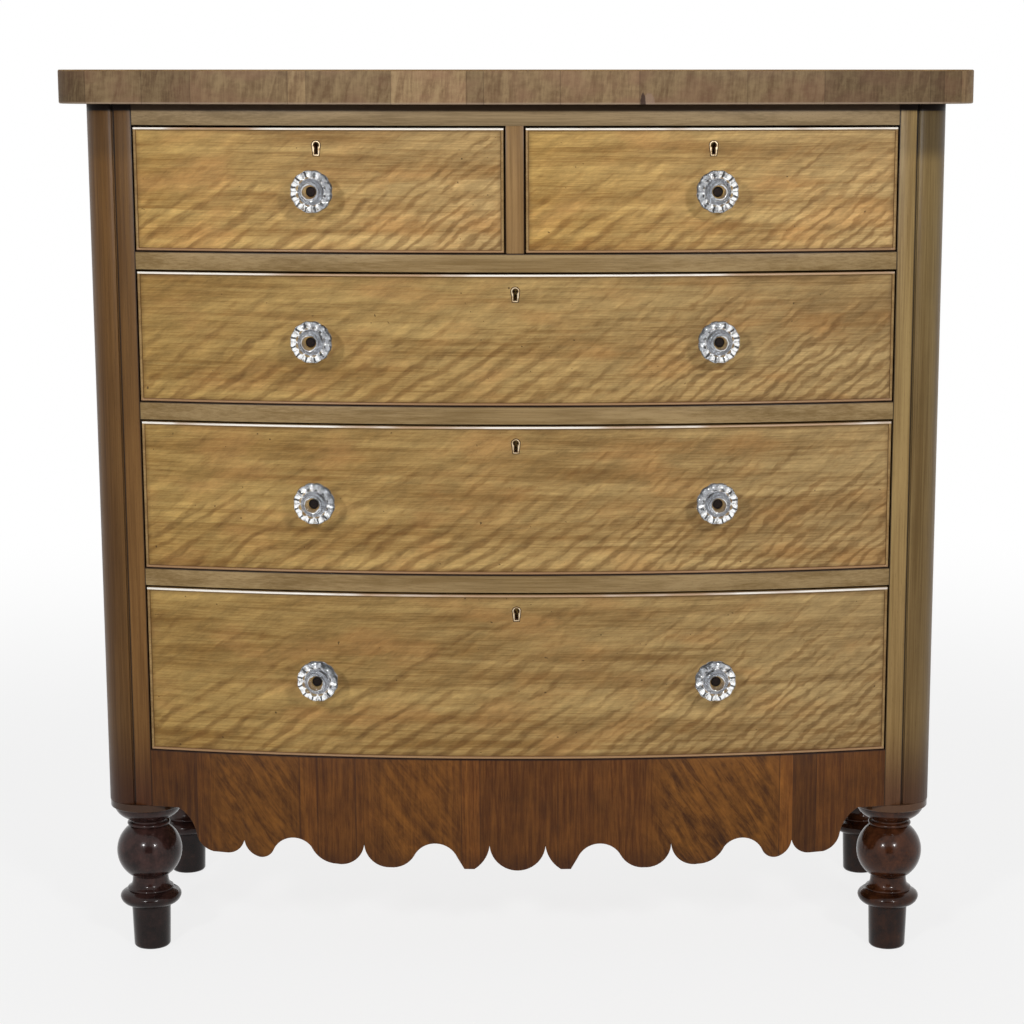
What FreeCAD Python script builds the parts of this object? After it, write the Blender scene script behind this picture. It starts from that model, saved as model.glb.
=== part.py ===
import FreeCAD, Part
import os
import re
import Sketcher

# A bow front chest of drawers: two short drawers over three long ones, on four turned feet.
# It stands on z = 0 and faces -Y, with +X to the right of someone who looks at its front.
# Lengths are millimetres. The front's bow is one arc about a vertical axis behind the chest.

SIZES = {
    # The front opening between the stiles, its bow, and the plan of the carcase
    "opening_width": 916,
    "bow_rise": 48,
    "stile_width": 22,
    "corner_radius": 38,
    "carcase_depth": 400,
    # Heights from the carcase's lower edge to the underside of the top
    "base_height": 73,
    "lower_opening_height": 209.5,
    "middle_opening_height": 184.5,
    "upper_opening_height": 160.5,
    "short_opening_height": 150,
    "rail_thickness": 21.5,
    "frieze_rail_height": 25,
    # Top: a thin board with strips under its edge
    "top_side_overhang": 32,
    "top_front_overhang": 30,
    "top_back_overhang": 8,
    "top_corner_radius": 62,
    "top_board_thickness": 20,
    "top_lipping_thickness": 20,
    "top_lipping_width": 60,
    # Sides, corner posts, stiles, rails and muntin
    "side_thickness": 20,
    "post_depth": 65,
    "stile_thickness": 22,
    "quirk_width": 2.5,
    "quirk_depth": 3,
    "tenon_length": 12,
    "tenon_setback": 10,
    "tenon_width": 34,
    "muntin_width": 22,
    "muntin_tenon_height": 8,
    "muntin_tenon_width": 10,
    # Inside of the carcase
    "back_board_thickness": 12,
    "back_rebate": 10,
    "runner_width": 34,
    "guide_height": 18,
    "centre_runner_width": 80,
    "bottom_board_thickness": 20,
    "stop_width": 40,
    "stop_depth": 22,
    "stop_height": 8,
    "foot_block_width": 90,
    # Apron: how far its lobes hang below the carcase, and its board
    "apron_hang": 69,
    "apron_thickness": 20,
    # Turned foot, from the floor up
    "toe_height": 3,
    "toe_radius": 21.5,
    "stem_height": 53,
    "stem_foot_radius": 23,
    "stem_radius": 24.5,
    "collar_height": 28,
    "collar_radius": 38.5,
    "neck_height": 13,
    "neck_radius": 22.5,
    "ball_height": 67,
    "ball_radius": 41,
    "ring_height": 5,
    "ring_radius": 27,
    "throat_height": 2,
    "throat_radius": 22.5,
    "cup_height": 20,
    "cup_radius": 46.5,
    "rim_height": 10,
    "spigot_radius": 10,
    "spigot_length": 40,
    # Drawers and their running fit
    "front_thickness": 22,
    "drawer_side_gap": 2,
    "drawer_top_gap": 2.5,
    "drawer_bottom_gap": 1.2,
    "running_clearance": 0.3,
    "drawer_end_clearance": 18,
    "bead_thickness": 3.2,
    "bead_projection": 2.5,
    "drawer_side_thickness": 11,
    "drawer_side_drop": 4,
    "drawer_back_thickness": 11,
    "drawer_back_inset": 10,
    "drawer_bottom_thickness": 8,
    "drawer_bottom_lift": 12,
    "bottom_groove": 5,
    # Locks, keyholes and escutcheons
    "lock_width": 62,
    "lock_height": 42,
    "lock_thickness": 12,
    "lock_back_rise": 0.8,
    "bolt_width": 30,
    "bolt_height": 20,
    "bolt_thickness": 7,
    "bolt_throw": 8,
    "bolt_clearance": 0.3,
    "mortise_clearance": 1.5,
    "keyhole_drop": 20,
    "keyhole_radius": 2.8,
    "keyhole_slot_width": 3.2,
    "keyhole_slot_drop": 10.3,
    "escutcheon_radius": 5.8,
    "escutcheon_foot_width": 8,
    "escutcheon_drop": 13.2,
    "escutcheon_thickness": 3,
    "escutcheon_projection": 0.4,
    "key_reach": 6,
    # Pressed glass knobs and their bolts
    "knob_spacing": 476,
    "knob_radius": 25.5,
    "knob_projection": 38,
    "knob_base_radius": 13,
    "knob_base_thickness": 4,
    "knob_neck_radius": 9.5,
    "knob_neck_length": 9,
    "knob_rim_thickness": 6,
    "knob_face_rise": 4,
    "knob_flute_depth": 1.3,
    "knob_recess_radius": 6,
    "knob_recess_depth": 7,
    "knob_bolt_radius": 2.8,
    "knob_bolt_head_radius": 5,
    "knob_bolt_head_height": 3,
    "knob_bolt_end": 3,
    "nut_radius": 6.5,
    "nut_thickness": 5,
    # One overrun for every cut that goes past a face
    "overrun": 5,
}

KNOB_FLUTES = 18
BACK_BOARDS = 6

# Where the arcs of the foot's cup pass, and of the knob's flare, as shares of their own rise and spread
CUP_BEND_SHARES = (0.66, 0.42)
KNOB_FLARE_SHARES = (0.3, 0.62)

LAYOUT = {
    "half_opening": "opening_width / 2",
    "stile_x": "half_opening + stile_width",
    "half_carcase": "stile_x + corner_radius",
    "inner_side_x": "half_carcase - side_thickness",
    "half_top": "half_carcase + top_side_overhang",
    "top_depth": "top_front_overhang + bow_rise + carcase_depth + top_back_overhang",
    "front_y": "top_front_overhang + bow_rise - top_depth / 2",
    "back_y": "front_y + carcase_depth",
    "bow_radius": "(half_opening ^ 2 + bow_rise ^ 2) / (2 * bow_rise)",
    "bow_centre_y": "front_y - bow_rise + bow_radius",
    "corner_y": "bow_centre_y - sqrt(bow_radius ^ 2 - stile_x ^ 2)",
    "stile_back_y": "front_y + stile_thickness",
    "post_back_y": "front_y + post_depth",
    "inner_back_y": "back_y - back_board_thickness",
    "drawer_end_y": "inner_back_y - drawer_end_clearance",
    "top_bow_radius": "bow_radius + top_front_overhang",
    "top_front_y": "bow_centre_y - top_bow_radius",
    "top_corner_y": "bow_centre_y - sqrt(top_bow_radius ^ 2 - half_top ^ 2)",
    "top_back_y": "back_y + top_back_overhang",
    "collar_z": "stem_height + collar_height",
    "ball_z": "collar_z + neck_height",
    "ring_z": "ball_z + ball_height",
    "throat_z": "ring_z + ring_height",
    "cup_z": "throat_z + throat_height",
    "rim_z": "cup_z + cup_height",
    "base_z": "rim_z + rim_height",
    "lower_z": "base_z + base_height",
    "lower_rail_z": "lower_z + lower_opening_height",
    "middle_z": "lower_rail_z + rail_thickness",
    "middle_rail_z": "middle_z + middle_opening_height",
    "upper_z": "middle_rail_z + rail_thickness",
    "upper_rail_z": "upper_z + upper_opening_height",
    "short_z": "upper_rail_z + rail_thickness",
    "frieze_z": "short_z + short_opening_height",
    "lipping_z": "frieze_z + frieze_rail_height",
    "board_z": "lipping_z + top_lipping_thickness",
    "top_z": "board_z + top_board_thickness",
    "foot_x": "half_carcase - cup_radius",
    "apron_shoulder_x": "foot_x - cup_radius - running_clearance",
    "front_foot_y": "front_y + cup_radius",
    "back_foot_y": "back_y - cup_radius",
    "half_muntin": "muntin_width / 2",
    "short_middle_x": "(half_opening + half_muntin) / 2",
}

document = FreeCAD.newDocument("BowFrontChest")
nodes = {}


def bound(formula):
    """The formula with each size's name pointed at the sheet that holds it."""

    def cell(match):
        word = match.group(0)
        if word in SIZES:
            return f"Sizes.{word}"
        if word in LAYOUT:
            return f"Layout.{word}"
        return word

    return re.sub(r"[a-z][a-z_]*", cell, formula)


def make_sheet(name, contents):
    """A spreadsheet with each value beside its name."""
    sheet = document.addObject("Spreadsheet::Sheet", name)
    for row, (alias, content) in enumerate(contents.items(), start=1):
        sheet.set(f"A{row}", alias)
        sheet.set(f"B{row}", content)
        sheet.setAlias(f"B{row}", alias)
    return sheet


sizes = make_sheet("Sizes", {name: str(number) for name, number in SIZES.items()})
document.recompute()
layout = make_sheet("Layout", {name: "=" + bound(formula) for name, formula in LAYOUT.items()})
document.recompute()


def value(formula):
    """The number that a formula of sizes gives now."""
    return float(sizes.evalExpression(bound(formula)))


def place(thing, x, y, z, turn="0"):
    """Bind a thing's place, and its turn about the vertical in degrees."""
    for axis, formula in zip("xyz", (x, y, z)):
        thing.setExpression(f"Placement.Base.{axis}", bound(formula))
    if turn != "0":
        thing.setExpression("Placement.Rotation.Angle", bound(turn))


def node(label, thing):
    """Name a finished piece, or a group of alike ones."""
    thing.Label = label
    nodes[label] = thing


# Solids and the ways they are joined

def box(name, x, y, z):
    """A box between two limits along each axis."""
    thing = document.addObject("Part::Box", name)
    place(thing, x[0], y[0], z[0])
    for side, (low, high) in zip(("Length", "Width", "Height"), (x, y, z)):
        thing.setExpression(side, bound(f"({high}) - ({low})"))
    return thing


def upright(name, x, y, z, radius, height):
    """A cylinder that stands upright."""
    thing = document.addObject("Part::Cylinder", name)
    place(thing, x, y, z)
    thing.setExpression("Radius", bound(radius))
    thing.setExpression("Height", bound(height))
    return thing


def two_of(kind, name, base, tool):
    thing = document.addObject(f"Part::{kind}", name)
    thing.Base = base
    thing.Tool = tool
    return thing


def cut(name, base, tool):
    return two_of("Cut", name, base, tool)


def common(name, base, tool):
    return two_of("Common", name, base, tool)


def fuse(name, pieces):
    thing = document.addObject("Part::MultiFuse", name)
    thing.Shapes = pieces
    thing.Refine = True
    return thing


def group(name, pieces):
    thing = document.addObject("Part::Compound", name)
    thing.Links = pieces
    return thing


def mirrored(name, source):
    """The same piece on the other side of the chest."""
    thing = document.addObject("Part::Mirroring", name)
    thing.Source = source
    thing.Normal = (1, 0, 0)
    return thing


# Outlines in sketches: a corner ends a line or an arc, and a bend is a point that an arc passes through

def pin(sketch, geometry, point, x, y):
    """Hold a point of a sketch at two bound distances from the sketch's origin."""
    for distance, axis, formula in (("DistanceX", -2, x), ("DistanceY", -1, y)):
        if formula == "0":
            sketch.addConstraint(Sketcher.Constraint("PointOnObject", geometry, point, axis))
            continue
        rule = Sketcher.Constraint(distance, -1, 1, geometry, point, value(formula))
        number = sketch.addConstraint(rule)
        sketch.setExpression(f"Constraints[{number}]", bound(formula))


def draw(sketch, outline):
    """Close a line through the outline's points, each (x, y) or (x, y, "bend")."""
    spots = [FreeCAD.Vector(value(point[0]), value(point[1]), 0) for point in outline]
    count = len(outline)
    ends = {}
    for start, point in enumerate(outline):
        if len(point) > 2:
            continue
        after = (start + 1) % count
        bend = len(outline[after]) > 2
        stop = (start + 2) % count if bend else after
        if bend:
            segment = sketch.addGeometry(Part.Arc(spots[start], spots[after], spots[stop]), False)
            through = sketch.addGeometry(Part.Point(spots[after]), True)
            pin(sketch, through, 1, outline[after][0], outline[after][1])
            sketch.addConstraint(Sketcher.Constraint("PointOnObject", through, 1, segment))
        else:
            segment = sketch.addGeometry(Part.LineSegment(spots[start], spots[stop]), False)
        begins = sketch.getPoint(segment, 1).distanceToPoint(spots[start])
        finishes = sketch.getPoint(segment, 2).distanceToPoint(spots[start])
        near, far = (1, 2) if begins < finishes else (2, 1)
        ends.setdefault(start, []).append((segment, near))
        ends.setdefault(stop, []).append((segment, far))
    for corner, (one, other) in ends.items():
        sketch.addConstraint(Sketcher.Constraint("Coincident", *one, *other))
        pin(sketch, *one, outline[corner][0], outline[corner][1])


def sketched(name, plane, outline):
    """A body with one outline drawn on one of its planes."""
    body = document.addObject("PartDesign::Body", name)
    sketch = body.newObject("Sketcher::SketchObject", f"{name}_outline")
    flat = [feature for feature in body.Origin.OriginFeatures if feature.Role == plane]
    sketch.AttachmentSupport = [(flat[0], "")]
    sketch.MapMode = "FlatFace"
    draw(sketch, outline)
    return body, sketch


def turned(name, outline, plane="XZ_Plane"):
    """A turning about the second axis of its plane."""
    body, sketch = sketched(name, plane, outline)
    turning = body.newObject("PartDesign::Revolution", f"{name}_turning")
    turning.Profile = sketch
    turning.ReferenceAxis = (sketch, ["V_Axis"])
    turning.Angle = 360
    return body


def plate(name, outline, thickness, plane="XZ_Plane"):
    """An outline seen from the front, thickened towards +Y, or a plan thickened upwards."""
    body, sketch = sketched(name, plane, outline)
    pad = body.newObject("PartDesign::Pad", f"{name}_pad")
    pad.Profile = sketch
    pad.setExpression("Length", bound(thickness))
    pad.Reversed = plane == "XZ_Plane"
    return body


def oblong(half_width, low, high):
    """A rectangle's outline about the middle."""
    left = f"-({half_width})"
    return [(left, low), (half_width, low), (half_width, high), (left, high)]


# The bow: upright cylinders about one axis, for the face of the front and the faces parallel to it

def bow(name, radius):
    return upright(name, "0", "bow_centre_y", "0", radius, "top_z")


bow_face = bow("bow_face", "bow_radius")
bead_face = bow("bead_face", "bow_radius + bead_projection")
front_back = bow("front_back", "bow_radius - front_thickness")
groove_end = bow("groove_end", "bow_radius - front_thickness + bottom_groove")
apron_back = bow("apron_back", "bow_radius - apron_thickness")
lipping_back = bow("lipping_back", "top_bow_radius - top_lipping_width")


def seat(thing, across, z, depth, turn=""):
    """Place a fitting square to the bow, its back a depth behind the face of the front."""
    radius = f"(bow_radius - ({depth}))"
    angle = f"asin(({across}) / bow_radius)"
    place(
        thing,
        f"{radius} * ({across}) / bow_radius",
        f"bow_centre_y - {radius} * cos({angle})",
        z,
        f"{turn}{angle}",
    )
    return thing


# The five drawers: opening in width, floor, opening in height, lock and knobs

LEFT_SHORT = "left_short_drawer"
RIGHT_SHORT = "right_short_drawer"
UPPER_LONG = "upper_long_drawer"
MIDDLE_LONG = "middle_long_drawer"
LOWER_LONG = "lower_long_drawer"

FULL_WIDTH = ("-half_opening", "half_opening")
KNOB_PAIR = ("-knob_spacing / 2", "knob_spacing / 2")

DRAWERS = {
    LEFT_SHORT: {
        "across": ("-half_opening", "-half_muntin"),
        "floor": "short_z",
        "height": "short_opening_height",
        "lock": "-short_middle_x",
        "knobs": ("-short_middle_x",),
    },
    RIGHT_SHORT: {
        "across": ("half_muntin", "half_opening"),
        "floor": "short_z",
        "height": "short_opening_height",
        "lock": "short_middle_x",
        "knobs": ("short_middle_x",),
    },
    UPPER_LONG: {
        "across": FULL_WIDTH,
        "floor": "upper_z",
        "height": "upper_opening_height",
        "lock": "0",
        "knobs": KNOB_PAIR,
    },
    MIDDLE_LONG: {
        "across": FULL_WIDTH,
        "floor": "middle_z",
        "height": "middle_opening_height",
        "lock": "0",
        "knobs": KNOB_PAIR,
    },
    LOWER_LONG: {
        "across": FULL_WIDTH,
        "floor": "lower_z",
        "height": "lower_opening_height",
        "lock": "0",
        "knobs": KNOB_PAIR,
    },
}

LOCK_DEPTH = "front_thickness + lock_back_rise - lock_thickness"
BOLT_DEPTH = f"{LOCK_DEPTH} + lock_thickness / 2 - bolt_thickness / 2"


def front_top(drawer):
    """The height of the upper edge of a drawer's front, cock bead included."""
    return f"{DRAWERS[drawer]['floor']} + {DRAWERS[drawer]['height']} - drawer_top_gap"


def bolt_mortise(drawer):
    """The pocket in the rail above a drawer that its lock's bolt rises into."""
    outline = oblong("bolt_width / 2 + mortise_clearance", "-overrun", "bolt_throw + mortise_clearance")
    pocket = plate(f"{drawer}_mortise", outline, "bolt_thickness + 2 * mortise_clearance")
    return seat(pocket, DRAWERS[drawer]["lock"], front_top(drawer), f"{BOLT_DEPTH} - mortise_clearance")


# Top: a board on a frame of strips, both cut from one bowed plan with rounded front corners

def build_top():
    outline = [
        ("-half_top", "top_back_y"),
        ("half_top", "top_back_y"),
        ("half_top", "top_corner_y"),
        ("0", "top_front_y", "bend"),
        ("-half_top", "top_corner_y"),
    ]
    plan = plate("top_plan", outline, "top_z - lipping_z", "XY_Plane")
    place(plan, "0", "0", "lipping_z")
    document.recompute()
    corner_y = value("top_corner_y")
    corners = []
    for number, edge in enumerate(plan.Shape.Edges, start=1):
        ends = [vertex.Point for vertex in edge.Vertexes]
        upright_edge = abs(ends[0].z - ends[-1].z) > value("top_z - lipping_z") / 2
        if upright_edge and abs(ends[0].y - corner_y) < value("top_corner_radius") / 2:
            corners.append(f"Edge{number}")
    rounding = plan.newObject("PartDesign::Fillet", "top_rounding")
    rounding.Base = (plan.Group[-2], corners)
    rounding.setExpression("Radius", bound("top_corner_radius"))

    whole_width = ("-half_top", "half_top")
    board_space = box("board_space", whole_width, ("top_front_y", "top_back_y"), ("board_z", "top_z"))
    node("top_board", common("top_board", plan, board_space))

    inner_x = "half_top - top_lipping_width"
    behind_corners = "top_corner_y + top_corner_radius"
    before_back = "top_back_y - top_lipping_width"
    layer = ("lipping_z", "board_z")
    hollow = common(
        "lipping_hollow",
        box("lipping_inside", (f"-({inner_x})", inner_x), ("top_front_y", before_back), layer),
        lipping_back,
    )
    frame = cut("lipping_frame", plan, hollow)
    spaces = [
        box("lipping_front_space", whole_width, ("top_front_y", behind_corners), layer),
        box("lipping_left_space", ("-half_top", "0"), (behind_corners, before_back), layer),
        box("lipping_right_space", ("0", "half_top"), (behind_corners, before_back), layer),
        box("lipping_back_space", whole_width, (before_back, "top_back_y"), layer),
    ]
    strips = [common(f"lipping_strip_{count}", frame, space) for count, space in enumerate(spaces)]
    node("top_lipping", group("top_lipping", strips))


# Rails: bowed in front, straight behind, housed in the stiles and the corner posts

def rail_tenon(name, z):
    reach = "half_opening + tenon_length"
    depth = ("front_y + tenon_setback", "front_y + tenon_setback + tenon_width")
    return box(name, (f"-({reach})", reach), depth, z)


def rail_blank(name, z):
    """A rail with its tenons, before the mortises in it are cut."""
    face = ("front_y - bow_rise", "post_back_y")
    bowed = common(f"{name}_bowed", box(f"{name}_board", FULL_WIDTH, face, z), bow_face)
    tenon = rail_tenon(f"{name}_tenon", z)
    return fuse(f"{name}_blank", [bowed, tenon]), tenon


def build_front_frame():
    """Rails, muntin, stiles and corner posts, each housed in the next."""
    heights = {
        "frieze_rail": ("frieze_z", "lipping_z"),
        "upper_rail": ("upper_rail_z", "short_z"),
        "middle_rail": ("middle_rail_z", "upper_z"),
        "lower_rail": ("lower_rail_z", "middle_z"),
    }
    locked = {
        "frieze_rail": [LEFT_SHORT, RIGHT_SHORT],
        "upper_rail": [UPPER_LONG],
        "middle_rail": [MIDDLE_LONG],
        "lower_rail": [LOWER_LONG],
    }
    face = ("front_y - bow_rise", "post_back_y")
    tenon_depth = ("front_y + tenon_setback", "front_y + tenon_setback + tenon_width")
    muntin_x = ("-half_muntin", "half_muntin")
    muntin_board = box("muntin_board", muntin_x, face, ("short_z", "frieze_z"))
    muntin_tenon = box(
        "muntin_tenon",
        ("-muntin_tenon_width / 2", "muntin_tenon_width / 2"),
        tenon_depth,
        ("short_z - muntin_tenon_height", "frieze_z + muntin_tenon_height"),
    )
    muntin_bowed = common("muntin_bowed", muntin_board, bow_face)
    node("muntin", fuse("muntin", [muntin_bowed, muntin_tenon]))

    rails = {}
    tenons = []
    for name, z in heights.items():
        blank, tenon = rail_blank(name, z)
        tenons.append(tenon)
        pockets = [bolt_mortise(drawer) for drawer in locked[name]]
        if name in ("frieze_rail", "upper_rail"):
            pockets.append(muntin_tenon)
        rails[name] = cut(name, blank, group(f"{name}_pockets", pockets))
    node("frieze_rail", rails.pop("frieze_rail"))
    node("drawer_rails", group("drawer_rails", list(rails.values())))

    housings = group("housings", tenons)
    whole = ("base_z", "lipping_z")
    board = box("stile_board", ("half_opening", "stile_x"), ("front_y - bow_rise", "stile_back_y"), whole)
    stile = cut("stile_right", common("stile_bowed", board, bow_face), housings)
    node("front_stiles", group("front_stiles", [mirrored("stile_left", stile), stile]))

    quadrant = upright("post_quadrant", "stile_x", "corner_y + corner_radius", "base_z", "corner_radius",
                       "lipping_z - base_z")
    quadrant.Angle = 90
    quadrant.Placement.Rotation = FreeCAD.Rotation(FreeCAD.Vector(0, 0, 1), -90)
    flank = box("post_flank", ("stile_x", "half_carcase"), ("corner_y + corner_radius", "post_back_y"), whole)
    behind = box("post_behind", ("half_opening", "stile_x"), ("stile_back_y", "post_back_y"), whole)
    quirk = box("quirk", ("stile_x", "stile_x + quirk_width"), ("front_y", "corner_y + quirk_depth"), whole)
    bore = upright("post_bore", "foot_x", "front_foot_y", "base_z", "spigot_radius", "spigot_length")
    blank = fuse("post_blank", [quadrant, flank, behind])
    post = cut("corner_post_right", blank, group("post_cuts", [housings, quirk, bore]))
    node("corner_post_right", post)
    node("corner_post_left", mirrored("corner_post_left", post))


# Sides, back, bottom and what the drawers run on

def build_case():
    whole = ("base_z", "lipping_z")
    board = box("side_board", ("inner_side_x", "half_carcase"), ("post_back_y", "back_y"), whole)
    rebate_x = ("inner_side_x", "inner_side_x + back_rebate")
    rebate = box("side_rebate", rebate_x, ("inner_back_y", "back_y"), whole)
    side = cut("side_right", board, rebate)
    node("side_right", side)
    node("side_left", mirrored("side_left", side))

    half_back = "(inner_side_x + back_rebate)"
    boards = []
    for count in range(BACK_BOARDS):
        across = [f"{half_back} * {2 * edge - BACK_BOARDS} / {BACK_BOARDS}" for edge in (count, count + 1)]
        boards.append(box(f"back_board_{count}", across, ("inner_back_y", "back_y"), whole))
    node("back_boards", group("back_boards", boards))

    layer = ("lower_z - bottom_board_thickness", "lower_z")
    fore = box("bottom_fore", FULL_WIDTH, ("front_y - bow_rise", "post_back_y"), layer)
    bowed = common("bottom_bowed", fore, apron_back)
    main = box("bottom_main", ("-inner_side_x", "inner_side_x"), ("post_back_y", "inner_back_y"), layer)
    node("bottom_board", fuse("bottom_board", [bowed, main]))

    length = ("post_back_y", "inner_back_y")
    strips = []
    for level, low, high in (
        ("upper", "upper_rail_z", "short_z"),
        ("middle", "middle_rail_z", "upper_z"),
        ("lower", "lower_rail_z", "middle_z"),
        ("kicker", "frieze_z", "lipping_z"),
    ):
        run = ("half_opening - runner_width", "inner_side_x")
        strips.append(box(f"{level}_runner_right", run, length, (low, high)))
    for level in ("short_z", "upper_z", "middle_z", "lower_z"):
        rise = (level, f"{level} + guide_height")
        strips.append(box(f"{level}_guide_right", ("half_opening", "inner_side_x"), length, rise))
    strips += [mirrored(strip.Name.replace("right", "left"), strip) for strip in strips]
    middle = ("-centre_runner_width / 2", "centre_runner_width / 2")
    strips.append(box("centre_runner", middle, length, ("upper_rail_z", "short_z")))
    strips.append(box("centre_kicker", middle, length, ("frieze_z", "lipping_z")))
    strips.append(box("centre_guide", ("-half_muntin", "half_muntin"), length, ("short_z", "frieze_z")))
    node("runners", group("runners", strips))

    stops = []
    inner, outer = "knob_spacing / 2 - stop_width / 2", "knob_spacing / 2 + stop_width / 2"
    seat_y = f"bow_centre_y - sqrt((bow_radius - front_thickness) ^ 2 - ({outer}) ^ 2) + running_clearance"
    for level in ("short_z", "upper_z", "middle_z", "lower_z"):
        rise = (level, f"{level} + stop_height")
        stops.append(box(f"{level}_stop_right", (inner, outer), (seat_y, f"{seat_y} + stop_depth"), rise))
    stops += [mirrored(stop.Name.replace("right", "left"), stop) for stop in stops]
    node("drawer_stops", group("drawer_stops", stops))

    under = ("base_z", "lower_z - bottom_board_thickness")
    block_x = ("inner_side_x - foot_block_width", "inner_side_x")
    front_block = box("front_block_right", block_x, ("post_back_y", "post_back_y + foot_block_width"), under)
    back_blank = box("back_block_blank", block_x, ("inner_back_y - foot_block_width", "inner_back_y"), under)
    bore = upright("block_bore", "foot_x", "back_foot_y", "base_z", "spigot_radius", "spigot_length")
    back_block = cut("back_block_right", back_blank, bore)
    blocks = [front_block, back_block]
    blocks += [mirrored(block.Name.replace("right", "left"), block) for block in blocks]
    node("foot_blocks", group("foot_blocks", blocks))


# Apron: lobes, cusps and arches along its lower edge, from the right foot to the middle.
# Each point is a share of the half width and a share of the hang, and bends are marked.

APRON_SHARES = [
    (0.900, 0.15, "bend"),
    (0.878, 0.46),
    (0.862, 0.68, "bend"),
    (0.832, 0.79),
    (0.795, 0.80),
    (0.765, 0.745, "bend"),
    (0.745, 0.54),
    (0.731, 0.745, "bend"),
    (0.704, 0.85),
    (0.684, 0.835, "bend"),
    (0.664, 0.70),
    (0.612, 0.465, "bend"),
    (0.560, 0.62),
    (0.532, 0.84, "bend"),
    (0.490, 0.925),
    (0.445, 0.865, "bend"),
    (0.4155, 0.52),
    (0.392, 0.86, "bend"),
    (0.345, 0.965),
    (0.308, 0.915, "bend"),
    (0.280, 0.74),
    (0.222, 0.505, "bend"),
    (0.163, 0.76),
    (0.144, 0.975),
    (0.117, 0.975),
    (0.092, 0.82, "bend"),
    (0.0755, 0.54),
]


def build_apron():
    right = [("half_opening", "0"), ("apron_shoulder_x", "0")]
    for across, hang, *bend in APRON_SHARES:
        right.append((f"half_opening * {across}", f"-apron_hang * {hang}", *bend))
    left = [(f"-{across}", hang, *bend) for across, hang, *bend in reversed(right)]
    middle = [("0", "-apron_hang", "bend")]
    upper = [("-half_opening", "base_height"), ("half_opening", "base_height")]
    board = plate("apron_board", right + middle + left + upper, "post_depth + bow_rise")
    place(board, "0", "front_y - bow_rise", "base_z")
    node("apron", cut("apron", common("apron_bowed", board, bow_face), apron_back))


# Turned feet: stem, collar, neck, ball, ring, throat, cup and rim, with a spigot above

def build_feet():
    cup_spread, cup_rise = CUP_BEND_SHARES
    outline = [
        ("0", "0"),
        ("toe_radius", "0"),
        ("stem_foot_radius", "toe_height"),
        ("stem_radius", "stem_height"),
        ("collar_radius", "stem_height + collar_height / 2", "bend"),
        ("neck_radius", "collar_z"),
        ("neck_radius", "ball_z"),
        ("ball_radius", "ball_z + ball_height / 2", "bend"),
        ("throat_radius", "ring_z"),
        ("ring_radius", "ring_z + ring_height / 2", "bend"),
        ("throat_radius", "throat_z"),
        ("throat_radius", "cup_z"),
        (
            f"throat_radius + (cup_radius - throat_radius) * {cup_spread}",
            f"cup_z + cup_height * {cup_rise}",
            "bend",
        ),
        ("cup_radius", "rim_z"),
        ("cup_radius", "base_z"),
        ("spigot_radius", "base_z"),
        ("spigot_radius", "base_z + spigot_length"),
        ("0", "base_z + spigot_length"),
    ]
    for side, x in (("left", "-foot_x"), ("right", "foot_x")):
        for end, y in (("front", "front_foot_y"), ("back", "back_foot_y")):
            foot = turned(f"{end}_foot_{side}", outline)
            place(foot, x, y, "0")
            node(f"{end}_foot_{side}", foot)


# Drawers: a bowed front with cock beads, a box behind it, knobs with their bolts, and a lock

def bowed_board(name, across, z, outer_face):
    """A board bent to the bow, between a face of the front and the back of the front."""
    depth = ("front_y - bow_rise - bead_projection", "stile_back_y + bow_rise")
    blank = common(f"{name}_blank", box(f"{name}_space", across, depth, z), outer_face)
    return cut(name, blank, front_back)


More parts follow.
